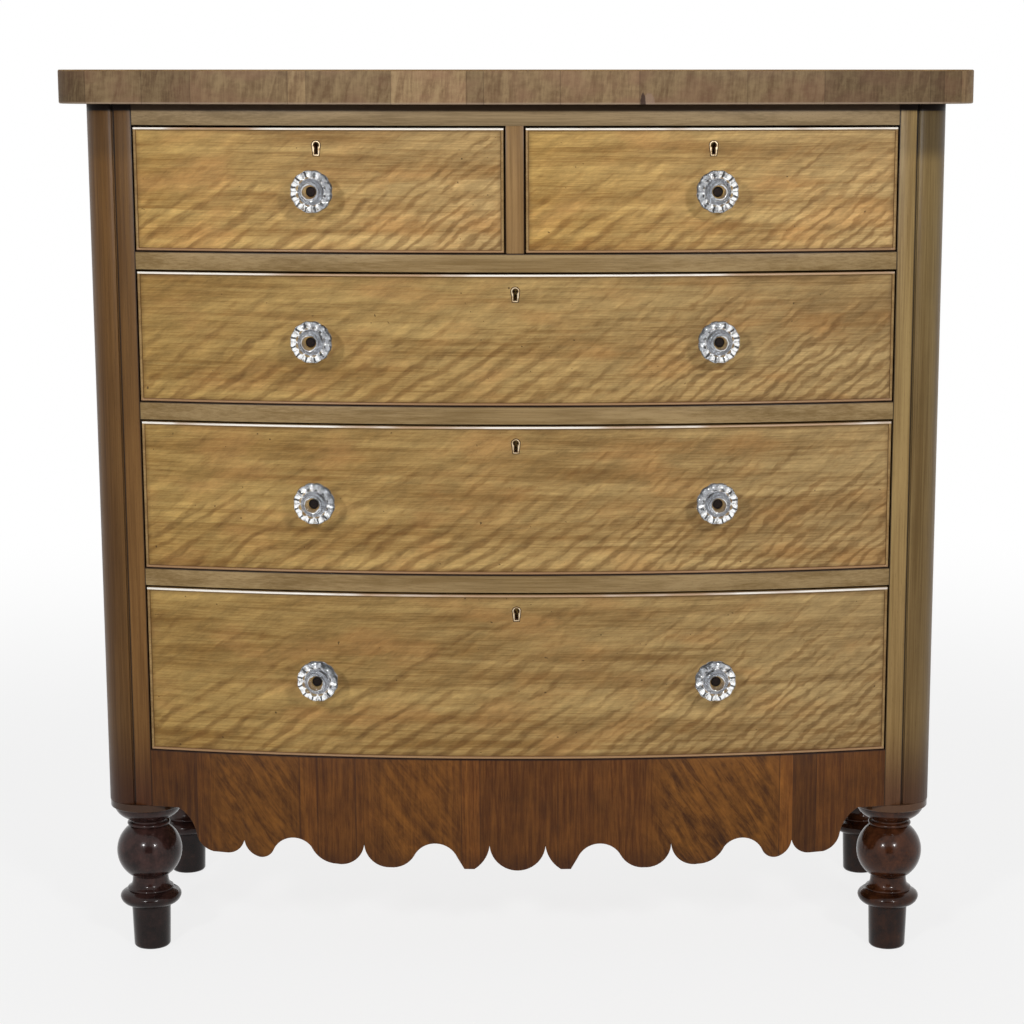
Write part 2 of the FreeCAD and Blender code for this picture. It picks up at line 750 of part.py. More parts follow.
def knob_parts(name, across, z):
    """A pressed glass knob, turned a little large and cut to a scalloped rim, and its bolt and nut."""
    flare_spread, flare_rise = KNOB_FLARE_SHARES
    neck_end = "knob_base_thickness + knob_neck_length"
    rim = "knob_projection - knob_face_rise - knob_rim_thickness"
    recess = "knob_projection - knob_recess_depth"
    blank_radius = "knob_radius + knob_flute_depth"
    outline = [
        ("knob_bolt_radius", "0"),
        ("knob_base_radius", "0"),
        ("knob_base_radius", "knob_base_thickness"),
        ("knob_neck_radius", "knob_base_thickness"),
        ("knob_neck_radius", neck_end),
        (
            f"knob_neck_radius + ({blank_radius} - knob_neck_radius) * {flare_spread}",
            f"{neck_end} + ({rim} - ({neck_end})) * {flare_rise}",
            "bend",
        ),
        (blank_radius, rim),
        (blank_radius, "knob_projection - knob_face_rise"),
        ("knob_recess_radius", "knob_projection"),
        ("knob_recess_radius", recess),
        ("knob_bolt_radius", recess),
    ]
    turning = turned(f"{name}_turning", outline, "XY_Plane")
    petals = []
    step = 180 / KNOB_FLUTES
    for count in range(KNOB_FLUTES):
        hollow, crown = 2 * count * step, (2 * count + 1) * step
        inner = "(knob_radius - knob_flute_depth)"
        petals.append((f"{inner} * cos({hollow})", f"{inner} * sin({hollow})"))
        petals.append((f"knob_radius * cos({crown})", f"knob_radius * sin({crown})", "bend"))
    scallop = plate(f"{name}_scallop", petals, "knob_projection")
    shank = [
        ("0", "-(front_thickness + nut_thickness + knob_bolt_end)"),
        ("knob_bolt_radius", "-(front_thickness + nut_thickness + knob_bolt_end)"),
        ("knob_bolt_radius", recess),
        ("knob_bolt_head_radius", recess),
        ("knob_bolt_head_radius", f"{recess} + knob_bolt_head_height"),
        ("0", f"{recess} + knob_bolt_head_height"),
    ]
    bolt = turned(f"{name}_bolt", shank, "XY_Plane")
    for thing in (turning, scallop, bolt):
        seat(thing, across, z, "0", "180 deg + ")
    turns = [60 * side + 30 for side in range(6)]
    hexagon = [(f"nut_radius * cos({turn})", f"nut_radius * sin({turn})") for turn in turns]
    nut_blank = seat(plate(f"{name}_nut_blank", hexagon, "nut_thickness"), across, z, "front_thickness")
    nut = cut(f"{name}_nut", nut_blank, bolt)
    return common(name, turning, scallop), bolt, nut


def lock_parts(drawer):
    """A lock let into the back of the front, its bolt, and the keyhole with its escutcheon."""
    across = DRAWERS[drawer]["lock"]
    top = front_top(drawer)
    case = plate(f"{drawer}_lock_blank", oblong("lock_width / 2", "-lock_height", "0"), "lock_thickness")
    seat(case, across, top, LOCK_DEPTH)
    slot_outline = oblong("bolt_width / 2 + bolt_clearance", "-bolt_height - bolt_clearance", "overrun")
    slot = plate(f"{drawer}_bolt_slot", slot_outline, "bolt_thickness + 2 * bolt_clearance")
    seat(slot, across, top, f"{BOLT_DEPTH} - bolt_clearance")
    bolt = plate(f"{drawer}_lock_bolt", oblong("bolt_width / 2", "-bolt_height", "0"), "bolt_thickness")
    seat(bolt, across, top, BOLT_DEPTH)

    half_slot = "keyhole_slot_width / 2"
    slot_meets = "-sqrt(keyhole_radius ^ 2 - (keyhole_slot_width / 2) ^ 2)"
    key_outline = [
        (f"-{half_slot}", "-keyhole_slot_drop"),
        (half_slot, "-keyhole_slot_drop"),
        (half_slot, slot_meets),
        ("0", "keyhole_radius", "bend"),
        (f"-{half_slot}", slot_meets),
    ]
    plate_outline = [
        ("-escutcheon_foot_width / 2", "-escutcheon_drop"),
        ("escutcheon_foot_width / 2", "-escutcheon_drop"),
        ("escutcheon_radius", "0"),
        ("0", "escutcheon_radius", "bend"),
        ("-escutcheon_radius", "0"),
    ]
    eye = f"{top} - keyhole_drop"
    key_space = plate(f"{drawer}_keyhole", key_outline, f"{LOCK_DEPTH} + key_reach + overrun")
    seat(key_space, across, eye, "-overrun")
    blank = plate(f"{drawer}_escutcheon_blank", plate_outline, "escutcheon_thickness")
    seat(blank, across, eye, "-escutcheon_projection")
    escutcheon = cut(f"{drawer}_escutcheon", blank, key_space)
    works = cut(f"{drawer}_lock_case", case, group(f"{drawer}_lock_hollows", [slot, key_space]))
    return case, works, bolt, key_space, blank, escutcheon


def build_drawer(drawer):
    opening, floor = DRAWERS[drawer]["across"], DRAWERS[drawer]["floor"]
    left, right = f"{opening[0]} + drawer_side_gap", f"{opening[1]} - drawer_side_gap"
    low, high = f"{floor} + drawer_bottom_gap", front_top(drawer)
    inside = (f"{left} + bead_thickness", f"{right} - bead_thickness")
    between = (f"{low} + bead_thickness", f"{high} - bead_thickness")

    case, works, bolt, key_space, escutcheon_blank, escutcheon = lock_parts(drawer)
    node(f"{drawer}_lock", group(f"{drawer}_lock", [works, escutcheon]))
    node(f"{drawer}_lock_bolt", bolt)

    knobs, bolts, nuts = [], [], []
    for count, across in enumerate(DRAWERS[drawer]["knobs"]):
        middle = f"({low} + {high}) / 2"
        knob, knob_bolt, nut = knob_parts(f"{drawer}_knob_{count}", across, middle)
        knobs.append(knob)
        bolts.append(knob_bolt)
        nuts.append(nut)
    node(f"{drawer}_knobs", group(f"{drawer}_knobs", knobs))
    node(f"{drawer}_knob_bolts", group(f"{drawer}_knob_bolts", bolts + nuts))

    side_low, side_high = f"{floor} + running_clearance", f"{high} - drawer_side_drop"
    inner_left, inner_right = f"{left} + drawer_side_thickness", f"{right} - drawer_side_thickness"
    panel = (f"{side_low} + drawer_bottom_lift", f"{side_low} + drawer_bottom_lift + drawer_bottom_thickness")
    length = ("front_y - bow_rise", "drawer_end_y")
    panel_space = box(
        f"{drawer}_panel",
        (f"{inner_left} - bottom_groove", f"{inner_right} + bottom_groove"),
        length,
        panel,
    )
    bottom = common(f"{drawer}_bottom", panel_space, groove_end)
    node(f"{drawer}_bottom", bottom)

    walls = []
    for side, across in (("left", (left, inner_left)), ("right", (inner_right, right))):
        board = box(f"{drawer}_{side}_board", across, length, (side_low, side_high))
        shaped = common(f"{drawer}_{side}_shaped", board, front_back)
        walls.append(cut(f"{drawer}_{side}_side", shaped, bottom))
    back_end = "drawer_end_y - drawer_back_inset"
    walls.append(
        box(
            f"{drawer}_back",
            (inner_left, inner_right),
            (f"{back_end} - drawer_back_thickness", back_end),
            (panel[1], f"{side_high} - drawer_side_drop"),
        )
    )
    node(f"{drawer}_box", group(f"{drawer}_box", walls))

    blank = bowed_board(f"{drawer}_front_board", inside, between, bow_face)
    hollows = group(f"{drawer}_hollows", [bottom, case, key_space, escutcheon_blank] + bolts)
    node(f"{drawer}_front", cut(f"{drawer}_front", blank, hollows))

    upper_bead = bowed_board(f"{drawer}_upper_bead_whole", (left, right), (between[1], high), bead_face)
    beads = [
        cut(f"{drawer}_upper_bead", upper_bead, case),
        bowed_board(f"{drawer}_lower_bead", (left, right), (low, between[0]), bead_face),
        bowed_board(f"{drawer}_left_bead", (left, inside[0]), between, bead_face),
        bowed_board(f"{drawer}_right_bead", (inside[1], right), between, bead_face),
    ]
    node(f"{drawer}_cock_bead", group(f"{drawer}_cock_bead", beads))


build_top()
build_front_frame()
build_case()
build_apron()
build_feet()
for drawer_name in DRAWERS:
    build_drawer(drawer_name)
document.recompute()

failed = [thing.Name for thing in document.Objects if {"Invalid", "Error"} & set(thing.State)]
if failed:
    raise RuntimeError(f"these objects failed: {failed}")
os.makedirs("parts", exist_ok=True)
for label, thing in nodes.items():
    if thing.Shape.isNull() or not thing.Shape.isValid():
        raise RuntimeError(f"{label} has no valid shape")
for label, thing in nodes.items():
    thing.Shape.exportStep(f"parts/{label}.step")
    print(label, len(thing.Shape.Solids), round(thing.Shape.Volume))
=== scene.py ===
"""A bow front chest of drawers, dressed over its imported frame."""
import math

import bpy
from mathutils import Matrix, Vector


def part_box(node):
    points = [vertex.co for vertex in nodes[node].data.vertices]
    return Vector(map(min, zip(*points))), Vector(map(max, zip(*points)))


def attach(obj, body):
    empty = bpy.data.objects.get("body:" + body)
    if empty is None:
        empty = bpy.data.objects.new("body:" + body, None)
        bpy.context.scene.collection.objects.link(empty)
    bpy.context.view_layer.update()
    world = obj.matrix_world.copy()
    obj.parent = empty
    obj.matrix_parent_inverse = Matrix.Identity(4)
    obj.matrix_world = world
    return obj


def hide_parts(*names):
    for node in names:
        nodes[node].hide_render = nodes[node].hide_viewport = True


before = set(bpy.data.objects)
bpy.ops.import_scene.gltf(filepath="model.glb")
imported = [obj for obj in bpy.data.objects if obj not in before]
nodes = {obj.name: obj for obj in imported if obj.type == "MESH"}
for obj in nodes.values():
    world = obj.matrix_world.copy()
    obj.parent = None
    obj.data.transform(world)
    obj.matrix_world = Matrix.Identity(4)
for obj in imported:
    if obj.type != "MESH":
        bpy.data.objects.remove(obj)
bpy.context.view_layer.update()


# Hidden boards: the back, the bottom, the runners, the stops and the glued foot blocks. They are deal,
# a plain softwood, sawn and left bare. Nails and glue hold them, and age and dust have browned them.
WAVE_TURNS = 20
WAVE_PERIOD = 2 * math.pi / WAVE_TURNS


class Tone:
    """One value of a finish, kept as its socket: an expression on it adds Math nodes."""

    def __init__(self, finish, socket):
        self.finish = finish
        self.socket = socket

    def reckon(self, operation, first, second):
        return self.finish.node("ShaderNodeMath", {"operation": operation}, {0: first, 1: second})

    def __add__(self, other):
        return self.reckon("ADD", self, other)

    def __radd__(self, other):
        return self.reckon("ADD", other, self)

    def __sub__(self, other):
        return self.reckon("SUBTRACT", self, other)

    def __rsub__(self, other):
        return self.reckon("SUBTRACT", other, self)

    def __mul__(self, other):
        return self.reckon("MULTIPLY", self, other)

    def __rmul__(self, other):
        return self.reckon("MULTIPLY", other, self)

    def __abs__(self):
        return self.reckon("ABSOLUTE", self, 0)

    def whole(self):
        return self.reckon("FLOOR", self, 0)

    def least(self, other):
        return self.reckon("MINIMUM", self, other)


class Finish:
    """A finish made of nodes: one Principled shader, and one method that adds any other node."""

    def __init__(self, name, uniform):
        self.material = bpy.data.materials.new(name)
        self.material.use_nodes = True
        self.tree = self.material.node_tree
        self.shader = self.tree.nodes["Principled BSDF"]
        for socket, value in uniform.items():
            self.shader.inputs[socket].default_value = value
        self.place = self.node("ShaderNodeTexCoord", {}, {}, "Object")
        axes = [self.node("ShaderNodeSeparateXYZ", {}, {0: self.place}, axis) for axis in "XYZ"]
        self.x, self.y, self.z = axes

    def join(self, socket, value):
        if isinstance(value, Tone):
            self.tree.links.new(value.socket, socket)
        else:
            socket.default_value = value

    def node(self, kind, settings, sockets, output=0):
        made = self.tree.nodes.new(kind)
        for setting, value in settings.items():
            setattr(made, setting, value)
        for socket, value in sockets.items():
            self.join(made.inputs[socket], value)
        return Tone(self, made.outputs[output])

    def mapped(self, size, turn, shift):
        """Places counted in steps of that size along x, y and z, turned anticlockwise in front view."""
        spot = {"Vector": self.place, "Location": shift, "Rotation": (0, -turn, 0), "Scale": size}
        return self.node("ShaderNodeMapping", {"vector_type": "TEXTURE"}, spot)

    def figure(self, size, turn=0.0, shift=(0, 0, 0), detail=3, rough=0.5, warp=0.0):
        """Noise with features of that size in metres along x, y and z."""
        grains = {"Scale": 1, "Detail": detail, "Roughness": rough, "Distortion": warp}
        grains["Vector"] = self.mapped(size, turn, shift)
        return self.node("ShaderNodeTexNoise", {}, grains)

    def waves(self, spacing, length, turn, shift, warp):
        """Bands that spacing apart, wavering over that length."""
        bands = {"Scale": 1, "Distortion": warp}
        bands.update({"Detail": 3, "Detail Scale": 1.6, "Detail Roughness": 0.6})
        bands["Vector"] = self.mapped((length, length, spacing / WAVE_PERIOD), turn, shift)
        return self.node("ShaderNodeTexWave", {"bands_direction": "Z"}, bands, 1)

    def step(self, value, low, high):
        """0 at low and past it, 1 at high and past it, and smooth between. Low may be the larger."""
        sockets = {"Value": value, "From Min": low, "From Max": high}
        return self.node("ShaderNodeMapRange", {"interpolation_type": "SMOOTHSTEP"}, sockets)

    def line(self, value, place, fade):
        """1 where the value is at a place, fading to 0 between two distances from it."""
        return 1 - self.step(abs(value - place), *fade)

    def mix(self, share, first, second):
        return self.node("ShaderNodeMix", {"data_type": "RGBA"}, {0: share, 6: first, 7: second}, 2)

    def lit(self, colour, amount):
        """The colour made lighter or darker by an amount."""
        return self.node("ShaderNodeVectorMath", {"operation": "SCALE"}, {0: colour, "Scale": amount})

    def bump(self, height, depth):
        return self.node("ShaderNodeBump", {}, {"Height": height, "Distance": depth, "Strength": 1})

    def wear(self, varying):
        for socket, value in varying.items():
            self.join(self.shader.inputs[socket], value)


def tint(red, green, blue):
    """A colour as a screen shows it, from 0 to 255, made the linear colour that a shader takes."""
    linear = [((part / 255 + 0.055) / 1.055) ** 2.4 for part in (red, green, blue)]
    return (*linear, 1)


def lengthwise(along, length, width):
    """The sizes of a streak that runs along x, y or z."""
    return tuple(length if axis == along else width for axis in "xyz")


DEAL = {"Specular IOR Level": 0.15}
DEAL_BOARDS = {
    "bottom_board": "x",
    "runners": "y",
    "drawer_stops": "x",
    "foot_blocks": "z",
}
BACK_BOARDS = 6
BACK_HALF_WIDTH = 0.508
BOARD_JOINT = 0.0012


def deal_grain(wood, along):
    """The growth rings and fine streaks of deal that runs along x, y or z."""
    rings = wood.figure(lengthwise(along, 0.8, 0.012), detail=3, warp=0.4)
    streaks = wood.figure(lengthwise(along, 0.12, 0.0016), detail=4, rough=0.6)
    return 0.5 * wood.step(rings, 0.28, 0.74) + 0.5 * streaks


def aged_deal(wood, grain, tone, marks):
    """Bare deal, browned by age and dust, with dark marks such as joints on it."""
    dust = wood.figure((0.16, 0.16, 0.16), detail=4, rough=0.6)
    colour = wood.mix(wood.step(grain, 0.15, 0.85), tint(188, 150, 104), tint(146, 106, 66))
    colour = wood.mix(0.5 * wood.step(dust, 0.45, 0.75), wood.lit(colour, tone), tint(112, 88, 64))
    wood.wear({
        "Base Color": wood.mix(marks, colour, tint(50, 32, 20)),
        "Roughness": 0.65 + 0.2 * grain,
        "Normal": wood.bump(grain - marks, 0.0006),
    })
    return wood.material


def back_deal():
    """Upright boards side by side, each of its own tone."""
    wood = Finish("back_deal", DEAL)
    width = 2 * BACK_HALF_WIDTH / BACK_BOARDS
    across = (wood.x + BACK_HALF_WIDTH) * (1 / width)
    board = across.whole()
    tone = wood.node("ShaderNodeTexWhiteNoise", {"noise_dimensions": "1D"}, {"W": board}, "Value")
    from_middle = abs(across - board - 0.5)
    joint = wood.step(from_middle, 0.5 - BOARD_JOINT / width, 0.5 - BOARD_JOINT / width / 3)
    return aged_deal(wood, deal_grain(wood, "z"), 0.82 + 0.3 * tone, 0.8 * joint)


def plain_deal(along):
    wood = Finish(f"deal_along_{along}", DEAL)
    return aged_deal(wood, deal_grain(wood, along), 1, 0)


deal_along = {along: plain_deal(along) for along in "xyz"}
nodes["back_boards"].material_slots[0].material = back_deal()
for board, along in DEAL_BOARDS.items():
    nodes[board].material_slots[0].material = deal_along[along]


# Sides, quarter-round corner posts and flat front stiles. They are mahogany with upright grain, polished
# with shellac. The posts are glued to the sides and stiles, with a scratched groove where they meet.
POLISH = {"Specular IOR Level": 0.15, "Coat Weight": 0.08, "Coat Roughness": 0.3, "Coat IOR": 1.4}
GROOVE_X = 0.480
POST_BACK_Y = -0.127
SIDE_PALENESS = 0.25
STILE_INNER_X = 0.458
SIDE_BLUR = 0.2
GROOVE_LINE = (0.0004, 0.0018)
POST_LINE = (0.0003, 0.0012)
SHADE_HEIGHTS = (1.0556, 1.0582)
HEAD_HEIGHTS = (0.992, 1.016)
LOW_HEIGHTS = (0.95, 0.25)
REDDER_HEIGHTS = (0.32, 0.20)
MERGE_GAP = 0.00001
FLAT_ANGLE = math.radians(0.4)
SHARP_ANGLE = math.radians(40)
SMOOTH_ANGLE = math.radians(32)
RUBBED_SEGMENTS = 2


def merged_copy(node, name):
    """A new piece with the shape of a CAD node, its triangles merged, selected and ready for work."""
    bpy.ops.object.select_all(action="DESELECT")
    piece = bpy.data.objects.new(name, nodes[node].data.copy())
    bpy.context.collection.objects.link(piece)
    bpy.context.view_layer.objects.active = piece
    piece.select_set(True)
    bpy.ops.mesh.customdata_custom_splitnormals_clear()
    bpy.ops.object.mode_set(mode="EDIT")
    bpy.ops.mesh.select_all(action="SELECT")
    bpy.ops.mesh.remove_doubles(threshold=MERGE_GAP)
    bpy.ops.mesh.dissolve_limited(angle_limit=FLAT_ANGLE)
    bpy.ops.object.mode_set(mode="OBJECT")
    return piece


def rub_edges(piece, radius, segments):
    """Make the sharp edges of the active piece round."""
    rubbing = piece.modifiers.new("rubbed_edges", "BEVEL")
    rubbing.width = radius
    rubbing.segments = segments
    rubbing.limit_method = "ANGLE"
    rubbing.angle_limit = SHARP_ANGLE
    bpy.ops.object.modifier_apply(modifier=rubbing.name)


def softened(node, radius):
    """A piece that stands for a CAD node of the carcase, with its sharp edges rubbed round."""
    piece = merged_copy(node, f"{node}_rubbed")
    rub_edges(piece, radius, RUBBED_SEGMENTS)
    bpy.ops.object.shade_smooth_by_angle(angle=SMOOTH_ANGLE)
    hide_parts(node)
    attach(piece, "carcase")
    return piece


def polished(name, along, light, dark, shift=(0, 0, 0)):
    """Polished wood with its grain along x, y or z: the finish, its colour and its height."""
    wood = Finish(name, POLISH)
    bands = wood.figure(lengthwise(along, 0.55, 0.016), shift=shift, detail=3, warp=0.3)
    streaks = wood.figure(lengthwise(along, 0.11, 0.0018), shift=shift, detail=4, rough=0.6)
    pores = wood.figure(lengthwise(along, 0.009, 0.0005), shift=shift, detail=1)
    blotches = wood.figure((0.11, 0.11, 0.11), shift=shift, detail=3)
    grain = 0.55 * bands + 0.45 * streaks
    colour = wood.mix(wood.step(grain, 0.34, 0.66), dark, light)
    colour = wood.lit(colour, 0.82 + 0.36 * blotches)
    colour = wood.mix(0.35 * wood.step(pores, 0.62, 0.78), colour, tint(58, 36, 20))
    height = 0.5 * streaks - 0.4 * wood.step(pores, 0.6, 0.8)
    return wood, colour, height


def french_polish(wood, colour, height, dullness=0.3):
    """Shellac over the wood: a soft sheen that is duller where it has been rubbed."""
    rubbed = wood.figure((0.05, 0.05, 0.05), detail=4, rough=0.6)
    wood.wear({
        "Base Color": colour,
        "Roughness": dullness + 0.2 * rubbed,
        "Normal": wood.bump(height, 0.00012),
    })
    return wood.material


def multiplied(wood, colour, stain):
    """The colour seen through a stain of another colour."""
    settings = {"data_type": "RGBA", "blend_type": "MULTIPLY"}
    return wood.node("ShaderNodeMix", settings, {0: 1, 6: colour, 7: stain}, 2)


def upright_veneer(name, shift, tone, head):
    """Upright mahogany: redder on the left and at the foot, darker at the head, painted shade in grooves
    and edges.
    """
    wood, pale, height = polished(name, "z", tint(168, 142, 93), tint(126, 100, 58), shift)
    red = multiplied(wood, pale, tint(184, 158, 136))
    low = wood.step(wood.z, *LOW_HEIGHTS)
    right = wood.step(wood.x, -SIDE_BLUR, SIDE_BLUR)
    paleness = SIDE_PALENESS if "side" in name else right * (1 - 0.4 * low)
    colour = wood.mix(paleness, red, pale)
    colour = wood.lit(colour, tone * (1 - 0.15 * low + 0.2 * low * right))
    if "stile" in name:
        colour = wood.lit(colour, 1 + (1 - right) * (0.7 * low - 0.2))
    redder = multiplied(wood, colour, tint(170, 144, 156))
    colour = wood.mix(wood.step(wood.z, *REDDER_HEIGHTS), colour, redder)
    # Painted shade: a dark line in the groove, a strip on the stiles' inner edge beside the drawers, and
    # a band under the top's overhang. The head is darker, and a dark joint line runs where post meets
    # side.
    groove = wood.line(abs(wood.x), GROOVE_X, GROOVE_LINE)
    inner = 1 - wood.step(abs(wood.x) - STILE_INNER_X, *GROOVE_LINE)
    shade_and_joints = 0.85 * groove + 0.8 * inner + 0.8 * wood.step(wood.z, *SHADE_HEIGHTS)
    shade_and_joints = shade_and_joints + head * wood.step(wood.z, *HEAD_HEIGHTS)
    shade_and_joints = shade_and_joints + 0.7 * wood.line(wood.y, POST_BACK_Y, POST_LINE)
    return french_polish(wood, wood.mix(shade_and_joints, colour, tint(24, 15, 10)), height)


UPRIGHTS = {
    "corner_post_left": ((0.31, 0, 0), 0.95, 0.3),
    "corner_post_right": ((0, 0, 0.4), 0.68, 0.55),
    "front_stiles": ((0.15, 0, 0.2), 1.03, 0.22),
    "side_left": ((0, 0.2, 0.7), 1.1, 0.2),
    "side_right": ((0, 0.5, 0.1), 1.0, 0.25),
}
UPRIGHT_EDGE = 0.0005
for upright, (shift, tone, head) in UPRIGHTS.items():
    piece = softened(upright, UPRIGHT_EDGE)
    piece.material_slots[0].material = upright_veneer(f"{upright}_veneer", shift, tone, head)


# Frieze, bowed drawer rails and the muntin between the short drawers. They are deal faced with the same
# veneer, laid along the rails and upright on the muntin, and housed in the stiles.
RAILS = {
    "frieze_rail": ("x", tint(156, 134, 100), tint(124, 104, 74)),
    "drawer_rails": ("x", tint(162, 137, 96), tint(126, 101, 62)),
    "muntin": ("z", tint(156, 123, 80), tint(120, 90, 53)),
}
RAIL_TOPS = (0.502, 0.708, 0.890)
RAIL_EDGE = 0.0006
MUNTIN_HALF_WIDTH = 0.011
END_DIRT = 0.001
EDGE_SHADE = 0.0016
RAIL_SHADE_LINE = (0.0005, EDGE_SHADE)
for rail, (along, light, dark) in RAILS.items():
    piece = softened(rail, RAIL_EDGE)
    wood, colour, height = polished(f"{rail}_veneer", along, light, dark, (0.2, 0, 0.05))
    # Painted shade: along the muntin's edges beside the drawers, in a band under the top's overhang, and
    # in a line along each rail's top edge under the bead above. The rail ends get a dark joint line at
    # the stiles.
    shade_and_joints = wood.step(abs(wood.x), STILE_INNER_X - END_DIRT, STILE_INNER_X)
    if rail == "muntin":
        shade_and_joints = wood.step(abs(wood.x), MUNTIN_HALF_WIDTH - EDGE_SHADE, MUNTIN_HALF_WIDTH)
    shade_and_joints = shade_and_joints + wood.step(wood.z, *SHADE_HEIGHTS)
    for rail_top in RAIL_TOPS:
        shade_and_joints = shade_and_joints + wood.line(wood.z, rail_top, RAIL_SHADE_LINE)
    colour = wood.mix(0.85 * shade_and_joints, colour, tint(34, 17, 14))
    piece.material_slots[0].material = french_polish(wood, colour, height)


# Apron: a bowed board with a sawn, scalloped lower edge, glued under the carcase. It is faced with dark
# red mahogany in several pieces, those in the middle feathered and the ends plain.
APRON_EDGE = 0.0012
APRON_TOP_SHADE = (0.269, 0.2704)
APRON_LOW_DARKENING = (0.160, 0.128)
APRON_JOINT = (0.0002, 0.0012)
FAR_LEFT = -1
APRON_TONES = {
    FAR_LEFT: 0.72, -0.400: 0.92, -0.270: 1.12, -0.248: 0.95, -0.200: 1.04, -0.069: 1.3,
    -0.046: 0.94, 0.05: 1.0, 0.325: 1.4, 0.342: 0.72, 0.371: 0.95,
}
APRON_FEATHERS = {
    FAR_LEFT: 0, -0.385: 0.9, -0.270: 0.1, -0.18: 0.7, -0.069: 0, 0.17: 1, 0.325: 0,
}
JOINT_BLUR = 0.0005
FEATHER_BLUR = 0.025
FEATHER_TURN = math.radians(-56)


def patchwork(wood, values, blur):
    """A value that changes from left to right at each place in a table of values."""
    places = list(values)
    total = values[places[0]]
    for before, place in zip(places, places[1:]):
        total = total + (values[place] - values[before]) * wood.step(wood.x, place - blur, place + blur)
    return total


def apron_veneer():
    wood = Finish("apron_veneer", POLISH)
    upright = wood.figure(lengthwise("z", 0.07, 0.004), detail=5, rough=0.7, warp=0.4)
    feather = wood.figure((0.06, 0.06, 0.009), FEATHER_TURN, detail=5, rough=0.68, warp=0.8)
    curls = wood.figure((0.018, 0.03, 0.012), FEATHER_TURN, detail=4, rough=0.7)
    blotches = wood.figure((0.03, 0.05, 0.03), detail=5, rough=0.65)
    feathered = patchwork(wood, APRON_FEATHERS, FEATHER_BLUR)
    grain = upright * (1 - feathered) + (0.7 * feather + 0.3 * curls) * feathered
    grain = wood.step(grain, 0.3, 0.72)
    plain = wood.mix(grain, tint(73, 38, 11), tint(109, 66, 26))
    figured = wood.mix(grain, tint(56, 28, 5), tint(140, 89, 34))
    colour = wood.lit(wood.mix(feathered, plain, figured), 0.5 + blotches)
    colour = wood.lit(colour, patchwork(wood, APRON_TONES, JOINT_BLUR))
    # Darker towards the bottom of the apron.
    colour = wood.mix(0.5 * wood.step(wood.z, *APRON_LOW_DARKENING), colour, tint(48, 24, 16))
    # Painted shade along the apron's top edge, under the lower drawer; dark joint lines between the
    # veneer pieces.
    shade_and_joints = wood.step(wood.z, *APRON_TOP_SHADE)
    for joint in list(APRON_TONES)[1:]:
        shade_and_joints = shade_and_joints + 0.6 * wood.line(wood.x, joint, APRON_JOINT)
    return french_polish(wood, wood.mix(0.85 * shade_and_joints, colour, tint(36, 18, 12)), grain)


piece = softened("apron", APRON_EDGE)
piece.material_slots[0].material = apron_veneer()


# Four turned feet: a stem, a collar, a ball and a cup under the corner. Each is one piece of dark
# stained mahogany, turned on a lathe and polished, with a spigot glued into the block above.
FOOT_STEPS = 64
FOOT_X = 0.4715
FRONT_FOOT_Y = -0.1185
BACK_FOOT_Y = 0.1885
SPIGOT_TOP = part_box("front_foot_left")[1].z
NECK_RADIUS = 0.0225
STEM_TOP = 0.10
STEM_FADE = 0.04
PAD_HEIGHTS = (0.1880, 0.1888)
FOOT_BLUR = 0.1
FOOT_SMOOTH_ANGLE = math.radians(38)
LATHE_GAP = 0.000001


def swelling(low, high, root, reach, rings):
    """The rings of a round moulding between two heights, from its root out to its reach and back."""
    half = (high - low) / 2
    sweep = reach - root
    radius = (half**2 + sweep**2) / (2 * sweep)
    spread = math.atan2(half, radius - sweep)
    turns = [spread * (2 * count / rings - 1) for count in range(rings + 1)]
    centre = (reach - radius, low + half)
    return [(centre[0] + radius * math.cos(turn), centre[1] + radius * math.sin(turn)) for turn in turns]


foot_outline = [
    (0.0205, 0), (0.0215, 0.0004), (0.0228, 0.0022), (0.0230, 0.0035), (0.0238, 0.0300),
    (0.0245, 0.0560), (0.0264, 0.0564), (0.0306, 0.0574), (0.0341, 0.0592), (0.0365, 0.0616),
    (0.0379, 0.0643), (0.0385, 0.0668), (0.0382, 0.0690), (0.0369, 0.0711), (0.0347, 0.0728),
    (0.0319, 0.0742), (0.0290, 0.0752), (0.0283, 0.0756),
]
foot_outline += swelling(0.0758, 0.0790, 0.0280, 0.0292, 6)
foot_outline += [
    (0.0266, 0.0800), (0.0248, 0.0816), (0.0235, 0.0840), (0.0228, 0.0872), (NECK_RADIUS, 0.0910),
]
foot_outline += swelling(0.0940, 0.1610, NECK_RADIUS, 0.0410, 18)
foot_outline += swelling(0.1614, 0.1658, 0.0238, 0.0270, 6)
foot_outline += [
    (0.0228, 0.1664), (0.0226, 0.1680), (0.0262, 0.1700), (0.0310, 0.1728), (0.0352, 0.1757),
    (0.0385, 0.1790), (0.0408, 0.1825), (0.0425, 0.1868), (0.0427, 0.1880), (0.0458, 0.1884),
    (0.0465, 0.1892), (0.0465, 0.1972), (0.0458, 0.1980), (0.0100, 0.1980), (0.0100, SPIGOT_TOP),
]


